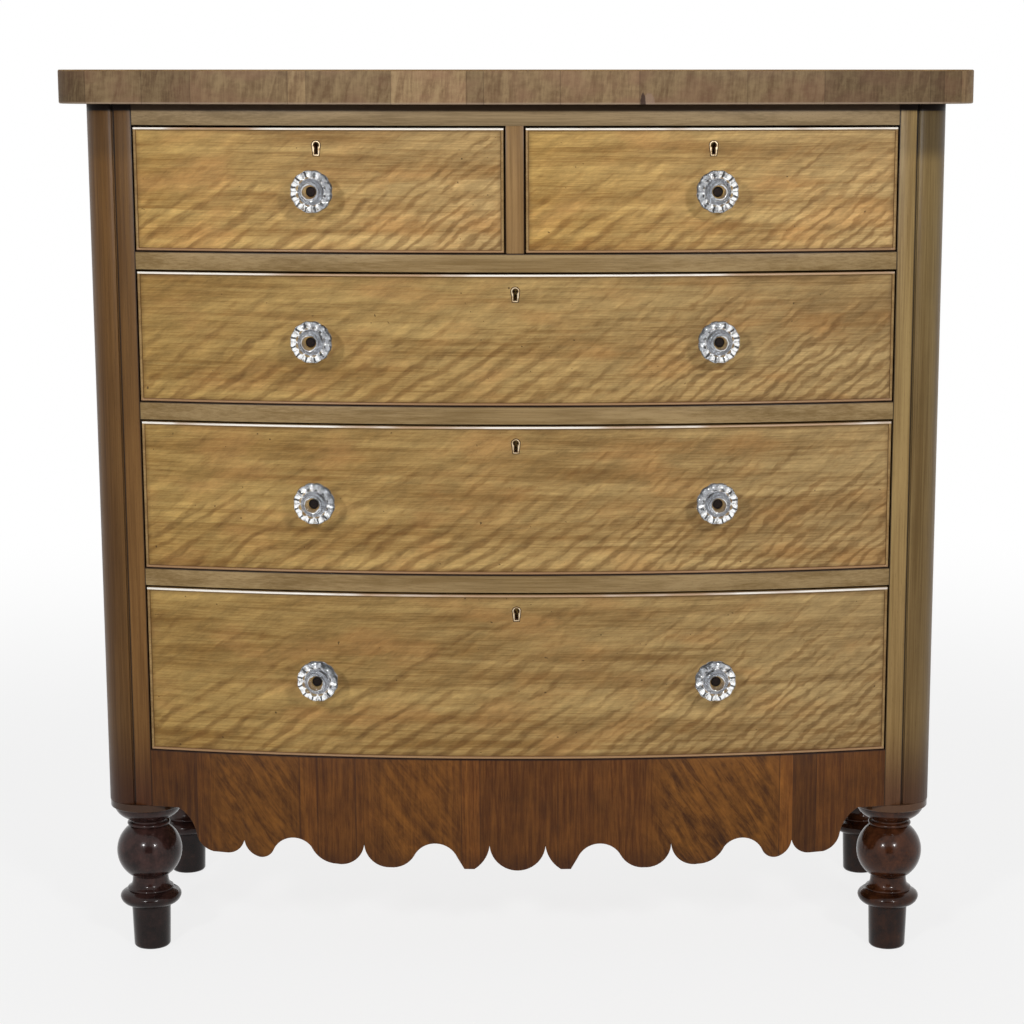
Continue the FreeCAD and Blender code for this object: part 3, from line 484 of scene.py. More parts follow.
def turned(name, outline, steps, fill):
    """A piece turned about the z axis: a circle drawn out along an outline of radii and heights."""
    bpy.ops.object.select_all(action="DESELECT")
    radius, height = outline[0]
    place = (0, 0, height)
    bpy.ops.mesh.primitive_circle_add(vertices=steps, radius=radius, fill_type=fill, location=place)
    bpy.ops.object.transform_apply(location=True)
    piece = bpy.context.object
    piece.name = name
    bpy.ops.object.mode_set(mode="EDIT")
    bpy.ops.mesh.select_mode(type="VERT")
    bpy.ops.mesh.select_all(action="SELECT")
    for (radius, height), (next_radius, next_height) in zip(outline, outline[1:]):
        growth = next_radius / radius
        bpy.ops.mesh.extrude_region_move(TRANSFORM_OT_translate={"value": (0, 0, next_height - height)})
        bpy.ops.transform.resize(value=(growth, growth, 1), center_override=(0, 0, next_height))
    bpy.ops.mesh.select_all(action="SELECT")
    bpy.ops.mesh.remove_doubles(threshold=LATHE_GAP)
    bpy.ops.mesh.normals_make_consistent(inside=False)
    bpy.ops.object.mode_set(mode="OBJECT")
    return piece


def foot_polish():
    """Dark polish, greyer on the left and browner on the right, scuffed below and paler on the pad."""
    shine = {"Specular IOR Level": 0.12, "Coat Weight": 0.22, "Coat Roughness": 0.03}
    wood = Finish("foot_polish", shine)
    streaks = wood.figure((0.006, 0.006, 0.05), detail=4, rough=0.65, warp=0.4)
    worn = wood.figure((0.018, 0.018, 0.018), detail=5, rough=0.7)
    right = wood.step(wood.x, -FOOT_BLUR, FOOT_BLUR)
    rubbed = wood.step(worn, 0.3, 0.7)
    grey = wood.mix(rubbed, tint(34, 20, 18), tint(66, 43, 39))
    brown = wood.mix(rubbed, tint(40, 18, 8), tint(78, 43, 24))
    colour = wood.lit(wood.mix(right, grey, brown), 0.45 + 1.1 * streaks)
    colour = wood.lit(colour, 0.45 + 0.55 * wood.step(wood.z, STEM_FADE, STEM_TOP))
    scuffs = wood.step(worn, 0.64, 0.72) * wood.step(wood.z, STEM_TOP, 0)
    colour = wood.mix(0.35 * scuffs, colour, tint(112, 80, 58))
    pad = wood.mix(right, tint(66, 44, 30), tint(90, 62, 42))
    colour = wood.mix(wood.step(wood.z, *PAD_HEIGHTS), colour, wood.lit(pad, 0.7 + 0.6 * worn))
    wood.wear({
        "Base Color": colour,
        "Roughness": 0.1 + 0.22 * worn,
        "Normal": wood.bump(streaks, 0.00012),
    })
    return wood.material


def copied(pattern, name, seat):
    """A copy of a pattern piece, with a mesh of its own that is moved to its seat."""
    piece = bpy.data.objects.new(name, pattern.data.copy())
    bpy.context.collection.objects.link(piece)
    piece.data.transform(seat)
    return piece


pattern_foot = turned("pattern_foot", foot_outline, FOOT_STEPS, "NGON")
bpy.ops.object.shade_smooth_by_angle(angle=FOOT_SMOOTH_ANGLE)
pattern_foot.data.materials.append(foot_polish())
FEET = {
    "front_foot_left": (-FOOT_X, FRONT_FOOT_Y, 0),
    "front_foot_right": (FOOT_X, FRONT_FOOT_Y, 0),
    "back_foot_left": (-FOOT_X, BACK_FOOT_Y, 0),
    "back_foot_right": (FOOT_X, BACK_FOOT_Y, 0),
}
for foot, place in FEET.items():
    piece = copied(pattern_foot, f"{foot}_turned", Matrix.Translation(place))
    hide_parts(foot)
    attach(piece, "carcase")
bpy.data.objects.remove(pattern_foot)


# Top: a thick-edged board with a bowed front and rounded corners, screwed to the carcase from below.
# Strips under its edge make it look thicker, and the edge is cross-banded with upright veneer.
BOW_AXIS_Y = 1.99604
TOP_FRONT_RADIUS = 2.23904
TOP_HALF_WIDTH = 0.550
TOP_CORNER_RADIUS = 0.062
TOP_CORNER_Y = -0.1256
TOP_BACK_Y = 0.243
TOP_LOW = 1.065
TOP_HIGH = 1.105
LIPPING_WIDTH = 0.060
LIPPING_DEPTH = 0.020
TOP_EDGE = 0.0022
TOP_SEGMENTS = 3
TOP_DULLNESS = 0.55
TOP_COAT = 0.03
FRONT_ARC_STEPS = 60
CORNER_ARC_STEPS = 16
FACING = 0.9
CRUMB = 0.00002
corner_x = TOP_HALF_WIDTH - TOP_CORNER_RADIUS
arc_turn = math.atan2(corner_x, BOW_AXIS_Y - TOP_CORNER_Y)
top_outline = [(-TOP_HALF_WIDTH, TOP_BACK_Y)]
for count in range(CORNER_ARC_STEPS):
    turn = math.pi / 2 - (math.pi / 2 - arc_turn) * count / CORNER_ARC_STEPS
    reach = (math.sin(turn) * TOP_CORNER_RADIUS, math.cos(turn) * TOP_CORNER_RADIUS)
    top_outline.append((-corner_x - reach[0], TOP_CORNER_Y - reach[1]))
for count in range(FRONT_ARC_STEPS + 1):
    turn = arc_turn * (2 * count / FRONT_ARC_STEPS - 1)
    reach = (math.sin(turn) * TOP_FRONT_RADIUS, math.cos(turn) * TOP_FRONT_RADIUS)
    top_outline.append((reach[0], BOW_AXIS_Y - reach[1]))
for x, y in reversed(top_outline[1:CORNER_ARC_STEPS + 1]):
    top_outline.append((-x, y))
top_outline.append((TOP_HALF_WIDTH, TOP_BACK_Y))


def select_faces(piece, wanted):
    """In edit mode, select the faces that are wanted, by their middle and normal."""
    bpy.ops.mesh.select_all(action="DESELECT")
    bpy.ops.object.mode_set(mode="OBJECT")
    for face in piece.data.polygons:
        face.select = wanted(face.center, face.normal)
    bpy.ops.object.mode_set(mode="EDIT")


bpy.ops.object.select_all(action="DESELECT")
bpy.ops.mesh.primitive_circle_add(vertices=len(top_outline), radius=TOP_HALF_WIDTH, fill_type="NGON",
                                  location=(0, 0, TOP_LOW))
bpy.ops.object.transform_apply(location=True)
top = bpy.context.object
top.name = "top_slab"
for corner, (x, y) in zip(top.data.vertices, top_outline):
    corner.co = (x, y, TOP_LOW)
bpy.ops.object.mode_set(mode="EDIT")
bpy.ops.mesh.select_mode(type="FACE")
bpy.ops.mesh.select_all(action="SELECT")
bpy.ops.mesh.extrude_region_move(TRANSFORM_OT_translate={"value": (0, 0, TOP_HIGH - TOP_LOW)})
bpy.ops.mesh.select_all(action="SELECT")
bpy.ops.mesh.normals_make_consistent(inside=False)
select_faces(top, lambda middle, normal: normal.z < -FACING)
bpy.ops.mesh.inset(thickness=LIPPING_WIDTH)
bpy.ops.mesh.extrude_region_move(TRANSFORM_OT_translate={"value": (0, 0, LIPPING_DEPTH)})
bpy.ops.object.mode_set(mode="OBJECT")
rub_edges(top, TOP_EDGE, TOP_SEGMENTS)
bpy.ops.object.mode_set(mode="EDIT")
bpy.ops.mesh.select_all(action="SELECT")
bpy.ops.mesh.dissolve_degenerate(threshold=CRUMB)
bpy.ops.object.mode_set(mode="OBJECT")
bpy.ops.object.shade_smooth_by_angle(angle=SMOOTH_ANGLE)

# The tone of each piece of the edge band from left to right, darker towards both ends; the last piece,
# on the right-hand rounded corner, is pale as a painted sheen.
BAND_TONES_AND_SHEEN = {
    FAR_LEFT: 0.48, -0.508: 0.68, -0.439: 0.6, -0.380: 0.76, -0.264: 0.94, -0.242: 0.76,
    -0.143: 1.02, -0.055: 0.7, -0.035: 0.82, 0.054: 0.84, 0.146: 0.72, 0.272: 0.7,
    0.363: 0.52, 0.490: 0.44, 0.507: 0.6, 0.529: 0.95,
}
BAND_TURN = math.radians(-14)
BAND_JOINT = (0.0002, 0.0011)
BAND_HEIGHTS = (1.1042, 1.1028)
RUBBED_HEIGHTS = (1.0678, 1.0662)
CHIP_X = 0.1498
CHIP_HALF_WIDTH = 0.0036
PATCH_X = 0.1570
PATCH_HALF_WIDTH = 0.0072
CHIP_HEIGHT = 0.0145


def chipped(wood, place, half_width):
    """Where the veneer of the top's lower front edge is damaged, in the shape of a ragged arch."""
    across = (wood.x - place) * (1 / half_width)
    upward = (wood.z - TOP_LOW) * (1 / CHIP_HEIGHT)
    ragged = wood.figure((0.003, 0.003, 0.006), detail=4, rough=0.7)
    arch = 1 - wood.step(across * across + upward * upward + 1.2 * ragged, 1.2, 1.6)
    return arch * wood.step(wood.y, 0, TOP_CORNER_Y)


def top_veneer():
    """Dull brown mahogany, with a band of upright pieces round its edge, pale and chipped below."""
    light, dark = tint(156, 124, 80), tint(120, 88, 52)
    wood, field, height = polished("top_veneer", "x", light, dark, (0.1, 0.3, 0))
    wood.shader.inputs["Coat Weight"].default_value = TOP_COAT
    fibres = wood.figure((0.0022, 0.0022, 0.03), detail=4, rough=0.6, warp=0.4)
    upright = wood.figure((0.011, 0.011, 0.06), BAND_TURN, detail=4, rough=0.6, warp=0.8)
    mottle = wood.figure((0.012, 0.03, 0.007), detail=5, rough=0.7)
    hue = wood.figure((0.05, 0.05, 0.03), detail=2)
    grain = 0.25 * fibres + 0.45 * upright + 0.3 * mottle
    band = wood.mix(wood.step(grain, 0.36, 0.64), tint(118, 91, 64), tint(164, 138, 101))
    band = wood.mix(0.4 * wood.step(hue, 0.4, 0.65), band, tint(150, 112, 88))
    band = wood.lit(band, patchwork(wood, BAND_TONES_AND_SHEEN, JOINT_BLUR))
    band = wood.mix(0.55 * wood.step(wood.z, *RUBBED_HEIGHTS), band, tint(176, 156, 136))
    shade_and_joints = 0
    for joint in list(BAND_TONES_AND_SHEEN)[1:]:
        shade_and_joints = shade_and_joints + 0.5 * wood.line(wood.x, joint, BAND_JOINT)
    band = wood.mix(0.7 * shade_and_joints, band, tint(52, 36, 26))
    band = wood.mix(0.35 * chipped(wood, PATCH_X, PATCH_HALF_WIDTH), band, tint(158, 134, 122))
    band = wood.mix(0.85 * chipped(wood, CHIP_X, CHIP_HALF_WIDTH), band, tint(46, 30, 30))
    colour = wood.mix(wood.step(wood.z, *BAND_HEIGHTS), field, band)
    return french_polish(wood, colour, height, TOP_DULLNESS)


top.data.materials.append(top_veneer())
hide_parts("top_board", "top_lipping")
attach(top, "carcase")


# Drawer boxes and bottoms: thin deal boards, bare inside and out. The sides are dovetailed to the front,
# whose pins show as dark wedges at their front ends, and the back and bottom are housed and nailed.
DRAWERS = ("left_short_drawer", "right_short_drawer", "upper_long_drawer", "middle_long_drawer",
           "lower_long_drawer")
SIDE_THICKNESS = 0.011
BACK_INNER_Y = 0.184
PIN_LENGTH = 0.010
PIN_WIDTH = 0.0046
PIN_FLARE = 0.22
PIN_SPACING = 0.042
PIN_BLUR = 0.0003
PIN_END_BLUR = 0.0002
SKIN = (0.0004, 0.0008)
SCRIBED_LINE = (0.0002, 0.0006)


def box_deal(drawer):
    """Deal along the sides of a drawer and across its back, with the front's pins let into the sides."""
    wood = Finish(f"{drawer}_box_deal", DEAL)
    low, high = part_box(f"{drawer}_box")
    inward = (high.x - low.x) / 2 - abs(wood.x - (low.x + high.x) / 2)
    in_back = wood.step(inward, SIDE_THICKNESS - PIN_BLUR, SIDE_THICKNESS)
    in_back = in_back * wood.step(wood.y, BACK_INNER_Y - 2 * PIN_BLUR, BACK_INNER_Y - PIN_BLUR)
    grain = deal_grain(wood, "y") * (1 - in_back) + deal_grain(wood, "x") * in_back
    spacing = (high.z - low.z) / round((high.z - low.z) / PIN_SPACING)
    level = (wood.z - low.z) * (1 / spacing)
    from_pin = abs(level - level.whole() - 0.5) * spacing
    depth = wood.y - low.y
    wedge = 1 - wood.step(from_pin - PIN_FLARE * depth - PIN_WIDTH / 2, -PIN_BLUR, PIN_BLUR)
    outside = 1 - wood.step(inward, *SKIN)
    pins = wedge * (1 - wood.step(depth - PIN_LENGTH, -PIN_END_BLUR, PIN_END_BLUR)) * outside
    scribed = outside * wood.line(depth, PIN_LENGTH, SCRIBED_LINE)
    return aged_deal(wood, grain, 1.04, 0.55 * pins + 0.35 * scribed)


for drawer in DRAWERS:
    nodes[f"{drawer}_box"].material_slots[0].material = box_deal(drawer)
    nodes[f"{drawer}_bottom"].material_slots[0].material = deal_along["x"]


# Drawer fronts: bowed boards faced with golden satinwood. The grain runs along the drawer, and a ripple
# figure crosses it, rising to the right and stronger towards the lower right of each front.
BOW_RADIUS = 2.20904
VENEER_THICKNESS = 0.0012
FRONT_SHIFTS = {
    "left_short_drawer": (0.37, 0, 0.11),
    "right_short_drawer": (1.21, 0, 0.43),
    "upper_long_drawer": (2.13, 0, 0.71),
    "middle_long_drawer": (3.31, 0, 1.07),
    "lower_long_drawer": (4.27, 0, 1.39),
}
# Each front's own tone, with painted light: the short drawers at the top lighter, the long drawers below
# darker.
FRONT_TONES_AND_LIGHT = {
    "left_short_drawer": 1.1,
    "right_short_drawer": 1.15,
    "upper_long_drawer": 0.92,
    "middle_long_drawer": 0.93,
    "lower_long_drawer": 0.88,
}
BEAD_THICKNESS = 0.0032
RIPPLE_TURN = math.radians(38)
BROAD_TURN = math.radians(34)
SLACK_TURN = math.radians(30)
MOTTLE_TURN = math.radians(24)
CORNER_SHADE = (0, 0.0011)
MARGIN_SHADE = (0.0005, 0.006)


def behind_face(finish):
    """How far a point lies behind the bowed face of the fronts, in metres."""
    flat = {0: finish.place, 1: (1, 1, 0)}
    level = finish.node("ShaderNodeVectorMath", {"operation": "MULTIPLY"}, flat)
    ends = {0: level, 1: (0, BOW_AXIS_Y, 0)}
    return BOW_RADIUS - finish.node("ShaderNodeVectorMath", {"operation": "DISTANCE"}, ends, "Value")


def inside_beads(finish, low, high):
    """How far a point lies inside the cock beads of a front, in metres."""
    across = (finish.x - low.x).least(high.x - finish.x)
    upward = (finish.z - low.z).least(high.z - finish.z)
    return across.least(upward) - BEAD_THICKNESS


def satinwood(drawer, shift):
    """Golden wood with a ripple, flecks, pores and specks, painted shade by the beads, on a brown core.
    """
    wood = Finish(f"{drawer}_satinwood", POLISH)
    low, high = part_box(f"{drawer}_cock_bead")
    bands = wood.figure((0.35, 0.35, 0.018), shift=shift, detail=4, rough=0.6, warp=0.5)
    fibres = wood.figure((0.03, 0.03, 0.0009), shift=shift, detail=3, rough=0.65)
    lines = wood.figure((0.09, 0.09, 0.0022), shift=shift, detail=4, rough=0.7, warp=0.5)
    broad = wood.waves(0.0185, 0.13, BROAD_TURN, shift, 6)
    close = wood.waves(0.0125, 0.07, RIPPLE_TURN, shift, 7)
    slack = wood.waves(0.034, 0.3, SLACK_TURN, shift, 7)
    breaks = wood.figure((0.034, 0.5, 0.014), RIPPLE_TURN, shift, detail=3, rough=0.6)
    mottle = wood.figure((0.014, 0.014, 0.0042), MOTTLE_TURN, shift, detail=5, rough=0.7)
    flecks = wood.figure((0.03, 0.03, 0.0042), BROAD_TURN, shift, detail=4, rough=0.7, warp=0.6)
    hue = wood.figure((0.1, 0.1, 0.04), shift=shift, detail=3)
    pores = wood.figure((0.007, 0.007, 0.0005), shift=shift, detail=1)
    specks = wood.figure((0.005, 0.005, 0.004), shift=shift, detail=0)
    across = (wood.x - low.x) * (1 / (high.x - low.x))
    down = (high.z - wood.z) * (1 / (high.z - low.z))
    rippled = wood.step(1.3 * breaks + 0.16 * across + 0.42 * down, 0.78, 1.18)
    to_right = wood.step(across, 0.45, 0.8)
    ripple = broad * (1 - to_right) + close * to_right
    strokes = rippled * (1 - wood.step(ripple, 0.02, 0.75))
    grain = 0.5 * bands + 0.2 * fibres + 0.3 * lines
    dark = wood.mix(across, tint(122, 90, 43), tint(120, 92, 54))
    light = wood.mix(across, tint(174, 143, 84), tint(172, 145, 98))
    colour = wood.mix(wood.step(grain, 0.36, 0.64), dark, light)
    colour = wood.mix(0.45 * wood.step(hue, 0.48, 0.7), colour, tint(168, 125, 74))
    fine = (0.3 + 0.7 * rippled) * wood.step(flecks, 0.54, 0.64)
    shade = 0.57 - 0.26 * strokes - 0.18 * fine + 0.24 * rippled + 1.08 * mottle + 0.2 * slack
    shade = shade - 0.3 * wood.step(lines, 0.58, 0.70)
    colour = wood.lit(wood.mix(0.45 * strokes, colour, tint(104, 66, 26)), FRONT_TONES_AND_LIGHT[drawer] * shade)
    colour = wood.mix(0.3 * wood.step(pores, 0.64, 0.78), colour, tint(90, 60, 30))
    colour = wood.mix(0.7 * wood.step(specks, 0.86, 0.89), colour, tint(52, 32, 18))
    # Painted shade on the front just inside the cock beads, darkest right beside them.
    inside = inside_beads(wood, low, high)
    shade_and_joints = 0.75 - 0.5 * wood.step(inside, *CORNER_SHADE) - 0.25 * wood.step(inside, *MARGIN_SHADE)
    colour = wood.mix(shade_and_joints, colour, tint(66, 38, 20))
    core = wood.mix(fibres, tint(128, 84, 54), tint(96, 60, 38))
    under = wood.step(behind_face(wood), 0.5 * VENEER_THICKNESS, VENEER_THICKNESS)
    return french_polish(wood, wood.mix(under, colour, core), 0.5 * fibres - 0.6 * strokes)


for drawer, shift in FRONT_SHIFTS.items():
    nodes[f"{drawer}_front"].material_slots[0].material = satinwood(drawer, shift)


# Cock beads: thin strips of mahogany let in round each front and mitred, standing a little proud with
# a round nose, and notched above for the lock. The top one is rubbed pale, with a painted highlight on
# its nose; the bottom one is red, with painted shade along its lower edge.
BEAD_PROUD = 0.0025
BEAD_NOSE = 0.0014
NOSE_SEGMENTS = 4
BEAD_STATIONS = 48
FRONT_THICKNESS = 0.022
NOTCH_DEPTH = 0.0105
NEAR = 0.00005
BEAD_SMOOTH_ANGLE = math.radians(35)
TOP_BEAD_HIGHLIGHT = (-0.0026, -0.0018)
BOTTOM_BEAD = (0.0045, 0.003)
BOTTOM_SHADE = (0.0015, 0.0005)
LEFT_END_HIGHLIGHT = (0.05, 0.015)


def bead_finish(drawer):
    """Polished mahogany: worn pale with a painted highlight on the top bead's nose, painted shade under
    the bottom one.
    """
    low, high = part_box(f"{drawer}_cock_bead")
    light, dark = tint(166, 136, 90), tint(132, 102, 62)
    wood, colour, height = polished(f"{drawer}_bead_polish", "x", light, dark)
    rubbed = wood.figure((0.2, 0.09, 0.09), detail=3, rough=0.6)
    above_bottom = wood.z - low.z
    # The top bead's nose is pale worn wood with a painted highlight, near white in patches and at the
    # left end.
    nose = wood.step(behind_face(wood), 0, -BEAD_NOSE / 2)
    upper = nose * wood.step(wood.z - high.z, *TOP_BEAD_HIGHLIGHT)
    paler = rubbed + 0.3 * wood.step(wood.x - low.x, *LEFT_END_HIGHLIGHT)
    bright = wood.mix(wood.step(paler, 0.4, 0.55), tint(188, 156, 124), tint(255, 250, 240))
    colour = wood.mix(0.7 * wood.step(above_bottom, *BOTTOM_BEAD), colour, tint(166, 128, 94))
    colour = wood.mix(upper, colour, bright)
    # Painted shade along the lowest 1.5 mm of the bottom bead, over the gap to the rail below.
    colour = wood.mix(0.85 * wood.step(above_bottom, *BOTTOM_SHADE), colour, tint(40, 18, 14))
    wood.wear({
        "Base Color": colour,
        "Roughness": 0.16 + 0.2 * rubbed,
        "Normal": wood.bump(height, 0.0001),
    })
    return wood.material


for drawer in DRAWERS:
    low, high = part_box(f"{drawer}_cock_bead")
    case_low, case_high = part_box(f"{drawer}_lock")
    bpy.ops.object.select_all(action="DESELECT")
    bpy.ops.mesh.primitive_grid_add(x_subdivisions=BEAD_STATIONS, y_subdivisions=1, size=1)
    piece = bpy.context.object
    piece.name = f"{drawer}_round_bead"
    stations = [low.x + (high.x - low.x) * count / BEAD_STATIONS for count in range(BEAD_STATIONS + 1)]
    for side_x in (case_low.x, case_high.x):
        nearest = min(stations, key=lambda station: abs(station - side_x))
        stations[stations.index(nearest)] = side_x
    for corner in piece.data.vertices:
        station = stations[round((corner.co.x + 0.5) * BEAD_STATIONS)]
        corner.co = (station, -BEAD_PROUD, high.z if corner.co.y > 0 else low.z)
    bpy.ops.object.mode_set(mode="EDIT")
    bpy.ops.mesh.select_mode(type="FACE")
    bpy.ops.mesh.select_all(action="SELECT")
    bpy.ops.mesh.inset(thickness=BEAD_THICKNESS)
    bpy.ops.mesh.delete(type="FACE")
    bpy.ops.mesh.select_all(action="SELECT")
    bpy.ops.mesh.extrude_region_move(TRANSFORM_OT_translate={"value": (0, BEAD_PROUD + NOTCH_DEPTH, 0)})
    select_faces(piece, lambda middle, normal: middle.y > NOTCH_DEPTH - NEAR and not (
        middle.z > high.z - BEAD_THICKNESS and case_low.x < middle.x < case_high.x))
    behind_notch = (0, FRONT_THICKNESS - NOTCH_DEPTH, 0)
    bpy.ops.mesh.extrude_region_move(TRANSFORM_OT_translate={"value": behind_notch})
    bpy.ops.mesh.select_all(action="SELECT")
    bpy.ops.mesh.normals_make_consistent(inside=False)
    bpy.ops.mesh.select_mode(type="EDGE")
    bpy.ops.mesh.select_all(action="DESELECT")
    bpy.ops.object.mode_set(mode="OBJECT")
    corners = [corner.co for corner in piece.data.vertices]
    inward = [min(co.x - low.x, high.x - co.x, co.z - low.z, high.z - co.z) for co in corners]
    for edge in piece.data.edges:
        first, last = edge.vertices
        in_front = max(corners[first].y, corners[last].y) < NEAR - BEAD_PROUD
        edge.select = in_front and abs(inward[first] - inward[last]) < NEAR
    bpy.ops.object.mode_set(mode="EDIT")
    bpy.ops.mesh.bevel(offset=BEAD_NOSE, segments=NOSE_SEGMENTS, profile=0.5, affect="EDGES")
    bpy.ops.object.mode_set(mode="OBJECT")
    for corner in piece.data.vertices:
        corner.co.y = BOW_AXIS_Y - math.sqrt((BOW_RADIUS - corner.co.y) ** 2 - corner.co.x**2)
    bpy.ops.object.shade_smooth_by_angle(angle=BEAD_SMOOTH_ANGLE)
    piece.data.materials.append(bead_finish(drawer))
    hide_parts(f"{drawer}_cock_bead")
    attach(piece, drawer)


# Locks: a brass case let into the back of each front, its bolt, and a keyhole lined with a small brass
# escutcheon that is hammered flush into the veneer and rubbed bright.
CASE_FRONT = (0.0128, 0.0118)
ESCUTCHEON_BACK = (0.004, 0.006)
BORDER = 0.0009


def brass(name, bright, dull, rough):
    """Old brass: bright where rubbed, dull where stained, and with painted shade where it faces into the
    wood.
    """
    metal = Finish(name, {"Metallic": 1})
    stains = metal.figure((0.004, 0.004, 0.004), detail=4, rough=0.65)
    scratches = metal.figure((0.006, 0.006, 0.0004), detail=2)
    colour = metal.mix(metal.step(stains, 0.35, 0.7), bright, dull)
    # Painted shade: brass lying 5 to 13 mm behind the face, inside the wood where the keyhole leads, is
    # made nearly black.
    deep = behind_face(metal)
    inward = metal.step(deep, *CASE_FRONT) * metal.step(deep, *ESCUTCHEON_BACK)
    metal.wear({
        "Base Color": metal.mix(inward, colour, tint(20, 14, 9)),
        "Roughness": rough + 0.2 * stains,
        "Normal": metal.bump(scratches, 0.00005),
    })
    return metal.material


# Dark colour for the escutcheon's rim and keyhole walls: a dark joint line round the rim, and painted
# shade inside the keyhole.
def keyhole_shade_and_grime():
    shade_and_grime = Finish("escutcheon_shade_and_grime", {"Specular IOR Level": 0.2})
    dark_mottle = shade_and_grime.figure((0.002, 0.002, 0.002), detail=3)
    colour = shade_and_grime.mix(dark_mottle, tint(38, 24, 14), tint(78, 54, 32))
    shade_and_grime.wear({"Base Color": colour, "Roughness": 0.5 + 0.3 * dark_mottle})
    return shade_and_grime.material


def front_of(part):
    return min(corner.co.y for corner in part.data.vertices)


lock_brass = brass("lock_brass", tint(190, 156, 92), tint(110, 82, 44), 0.3)
escutcheon_brass = brass("escutcheon_brass", tint(228, 208, 174), tint(160, 132, 92), 0.35)
escutcheon_shade_and_grime = keyhole_shade_and_grime()
for drawer in DRAWERS:
    merged_copy(f"{drawer}_lock", f"{drawer}_lock_case")
    bpy.ops.object.mode_set(mode="EDIT")
    bpy.ops.mesh.select_all(action="SELECT")
    bpy.ops.mesh.separate(type="LOOSE")
    bpy.ops.object.mode_set(mode="OBJECT")
    parts = sorted(bpy.context.selected_objects, key=front_of)
    escutcheon, case = parts
    escutcheon.name = f"{drawer}_escutcheon"
    case.name = f"{drawer}_lock_case"
    case.material_slots[0].material = lock_brass
    bpy.ops.object.select_all(action="DESELECT")
    bpy.context.view_layer.objects.active = escutcheon
    escutcheon.select_set(True)
    escutcheon.material_slots[0].material = escutcheon_shade_and_grime
    escutcheon.data.materials.append(escutcheon_brass)
    bpy.ops.object.mode_set(mode="EDIT")
    bpy.ops.mesh.select_mode(type="FACE")
    select_faces(escutcheon, lambda middle, normal: normal.y < -FACING)
    bpy.ops.mesh.inset(thickness=BORDER)
    escutcheon.active_material_index = 1
    bpy.ops.object.material_slot_assign()
    bpy.ops.object.mode_set(mode="OBJECT")
    for piece in parts:
        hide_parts(f"{drawer}_lock")
        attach(piece, drawer)
    nodes[f"{drawer}_lock_bolt"].material_slots[0].material = lock_brass


# Knobs: pressed glass, with a rim of petals, a moulded ring and a dished middle, and tin foil behind
# the base. An iron bolt in a blackened hole goes through each one, and a nut in the drawer holds it.
KNOB_COLUMNS = 72
BOLT_RADIUS = 0.0031
KNOB_OUTLINE = (
    (BOLT_RADIUS, 0), (0.0126, 0), (0.0134, 0.0015), (0.0128, 0.0036), (0.0104, 0.0046),
    (0.0096, 0.0060), (0.0095, 0.0090), (0.0102, 0.0110), (0.0135, 0.0150), (0.0175, 0.0198),
    (0.0215, 0.0246), (0.0244, 0.0280), (0.0255, 0.0300), (0.0256, 0.0318), (0.0250, 0.0338),
    (0.0232, 0.0354), (0.0202, 0.0364), (0.0174, 0.0368), (0.0162, 0.0344), (0.0148, 0.0342),
    (0.0138, 0.0370), (0.0118, 0.0380), (0.0096, 0.0372), (0.0072, 0.0356), (0.0060, 0.0335),
    (0.0056, 0.0312), (BOLT_RADIUS, 0.0310), (BOLT_RADIUS, 0),
)
PETALS = 12
PETAL_INNER = 0.0165
PETAL_LOW = 0.022
PETAL_FACE = 0.034
PETAL_DEPTH = 0.0024
RIM_SHARE = 0.5
FOIL_HIGH = 0.0160
RECESS_RADIUS = 0.0061
RECESS_FLOOR = 0.030
pattern_knob = turned("pattern_knob", KNOB_OUTLINE, KNOB_COLUMNS, "NOTHING")
for corner in pattern_knob.data.vertices:
    reach = math.hypot(corner.co.x, corner.co.y)
    around = math.atan2(corner.co.y, corner.co.x)
    sunk = PETAL_DEPTH * (1 - abs(math.sin(around * PETALS / 2)))
    drawn_in = 1 - RIM_SHARE * sunk / reach
    if reach > PETAL_INNER and corner.co.z > PETAL_LOW:
        corner.co.x *= drawn_in
        corner.co.y *= drawn_in
        corner.co.z -= sunk if corner.co.z > PETAL_FACE else 0
smoothing = pattern_knob.modifiers.new("pressed_curves", "SUBSURF")
smoothing.levels = 1
smoothing.render_levels = 1
bpy.ops.object.modifier_apply(modifier=smoothing.name)
bpy.ops.object.shade_smooth()


def pressed_glass():
    clear = {"Transmission Weight": 1, "IOR": 1.52, "Base Color": (0.99, 1, 1, 1)}
    glass = Finish("pressed_glass", clear)
    ripples = glass.figure((0.004, 0.004, 0.004), detail=2)
    smears = glass.figure((0.008, 0.008, 0.008), detail=3)
    glass.wear({"Roughness": 0.01 + 0.05 * smears, "Normal": glass.bump(ripples, 0.00015)})
    return glass.material


def bolt_iron():
    metal = Finish("bolt_iron", {"Metallic": 0.7, "Specular IOR Level": 0.3})
    rust = metal.figure((0.002, 0.002, 0.002), detail=4, rough=0.65)
    colour = metal.mix(metal.step(rust, 0.4, 0.7), tint(16, 14, 14), tint(44, 30, 24))
    metal.wear({
        "Base Color": colour,
        "Roughness": 0.45 + 0.3 * rust,
        "Normal": metal.bump(rust, 0.0002),
    })
    return metal.material


def tin_foil():
    metal = Finish("tin_foil", {"Metallic": 1})
    creases = metal.figure((0.003, 0.003, 0.003), detail=3)
    colour = metal.mix(creases, tint(250, 251, 253), tint(208, 210, 214))
    metal.wear({
        "Base Color": colour,
        "Roughness": 0.06 + 0.14 * creases,
        "Normal": metal.bump(creases, 0.0003),
    })
    return metal.material


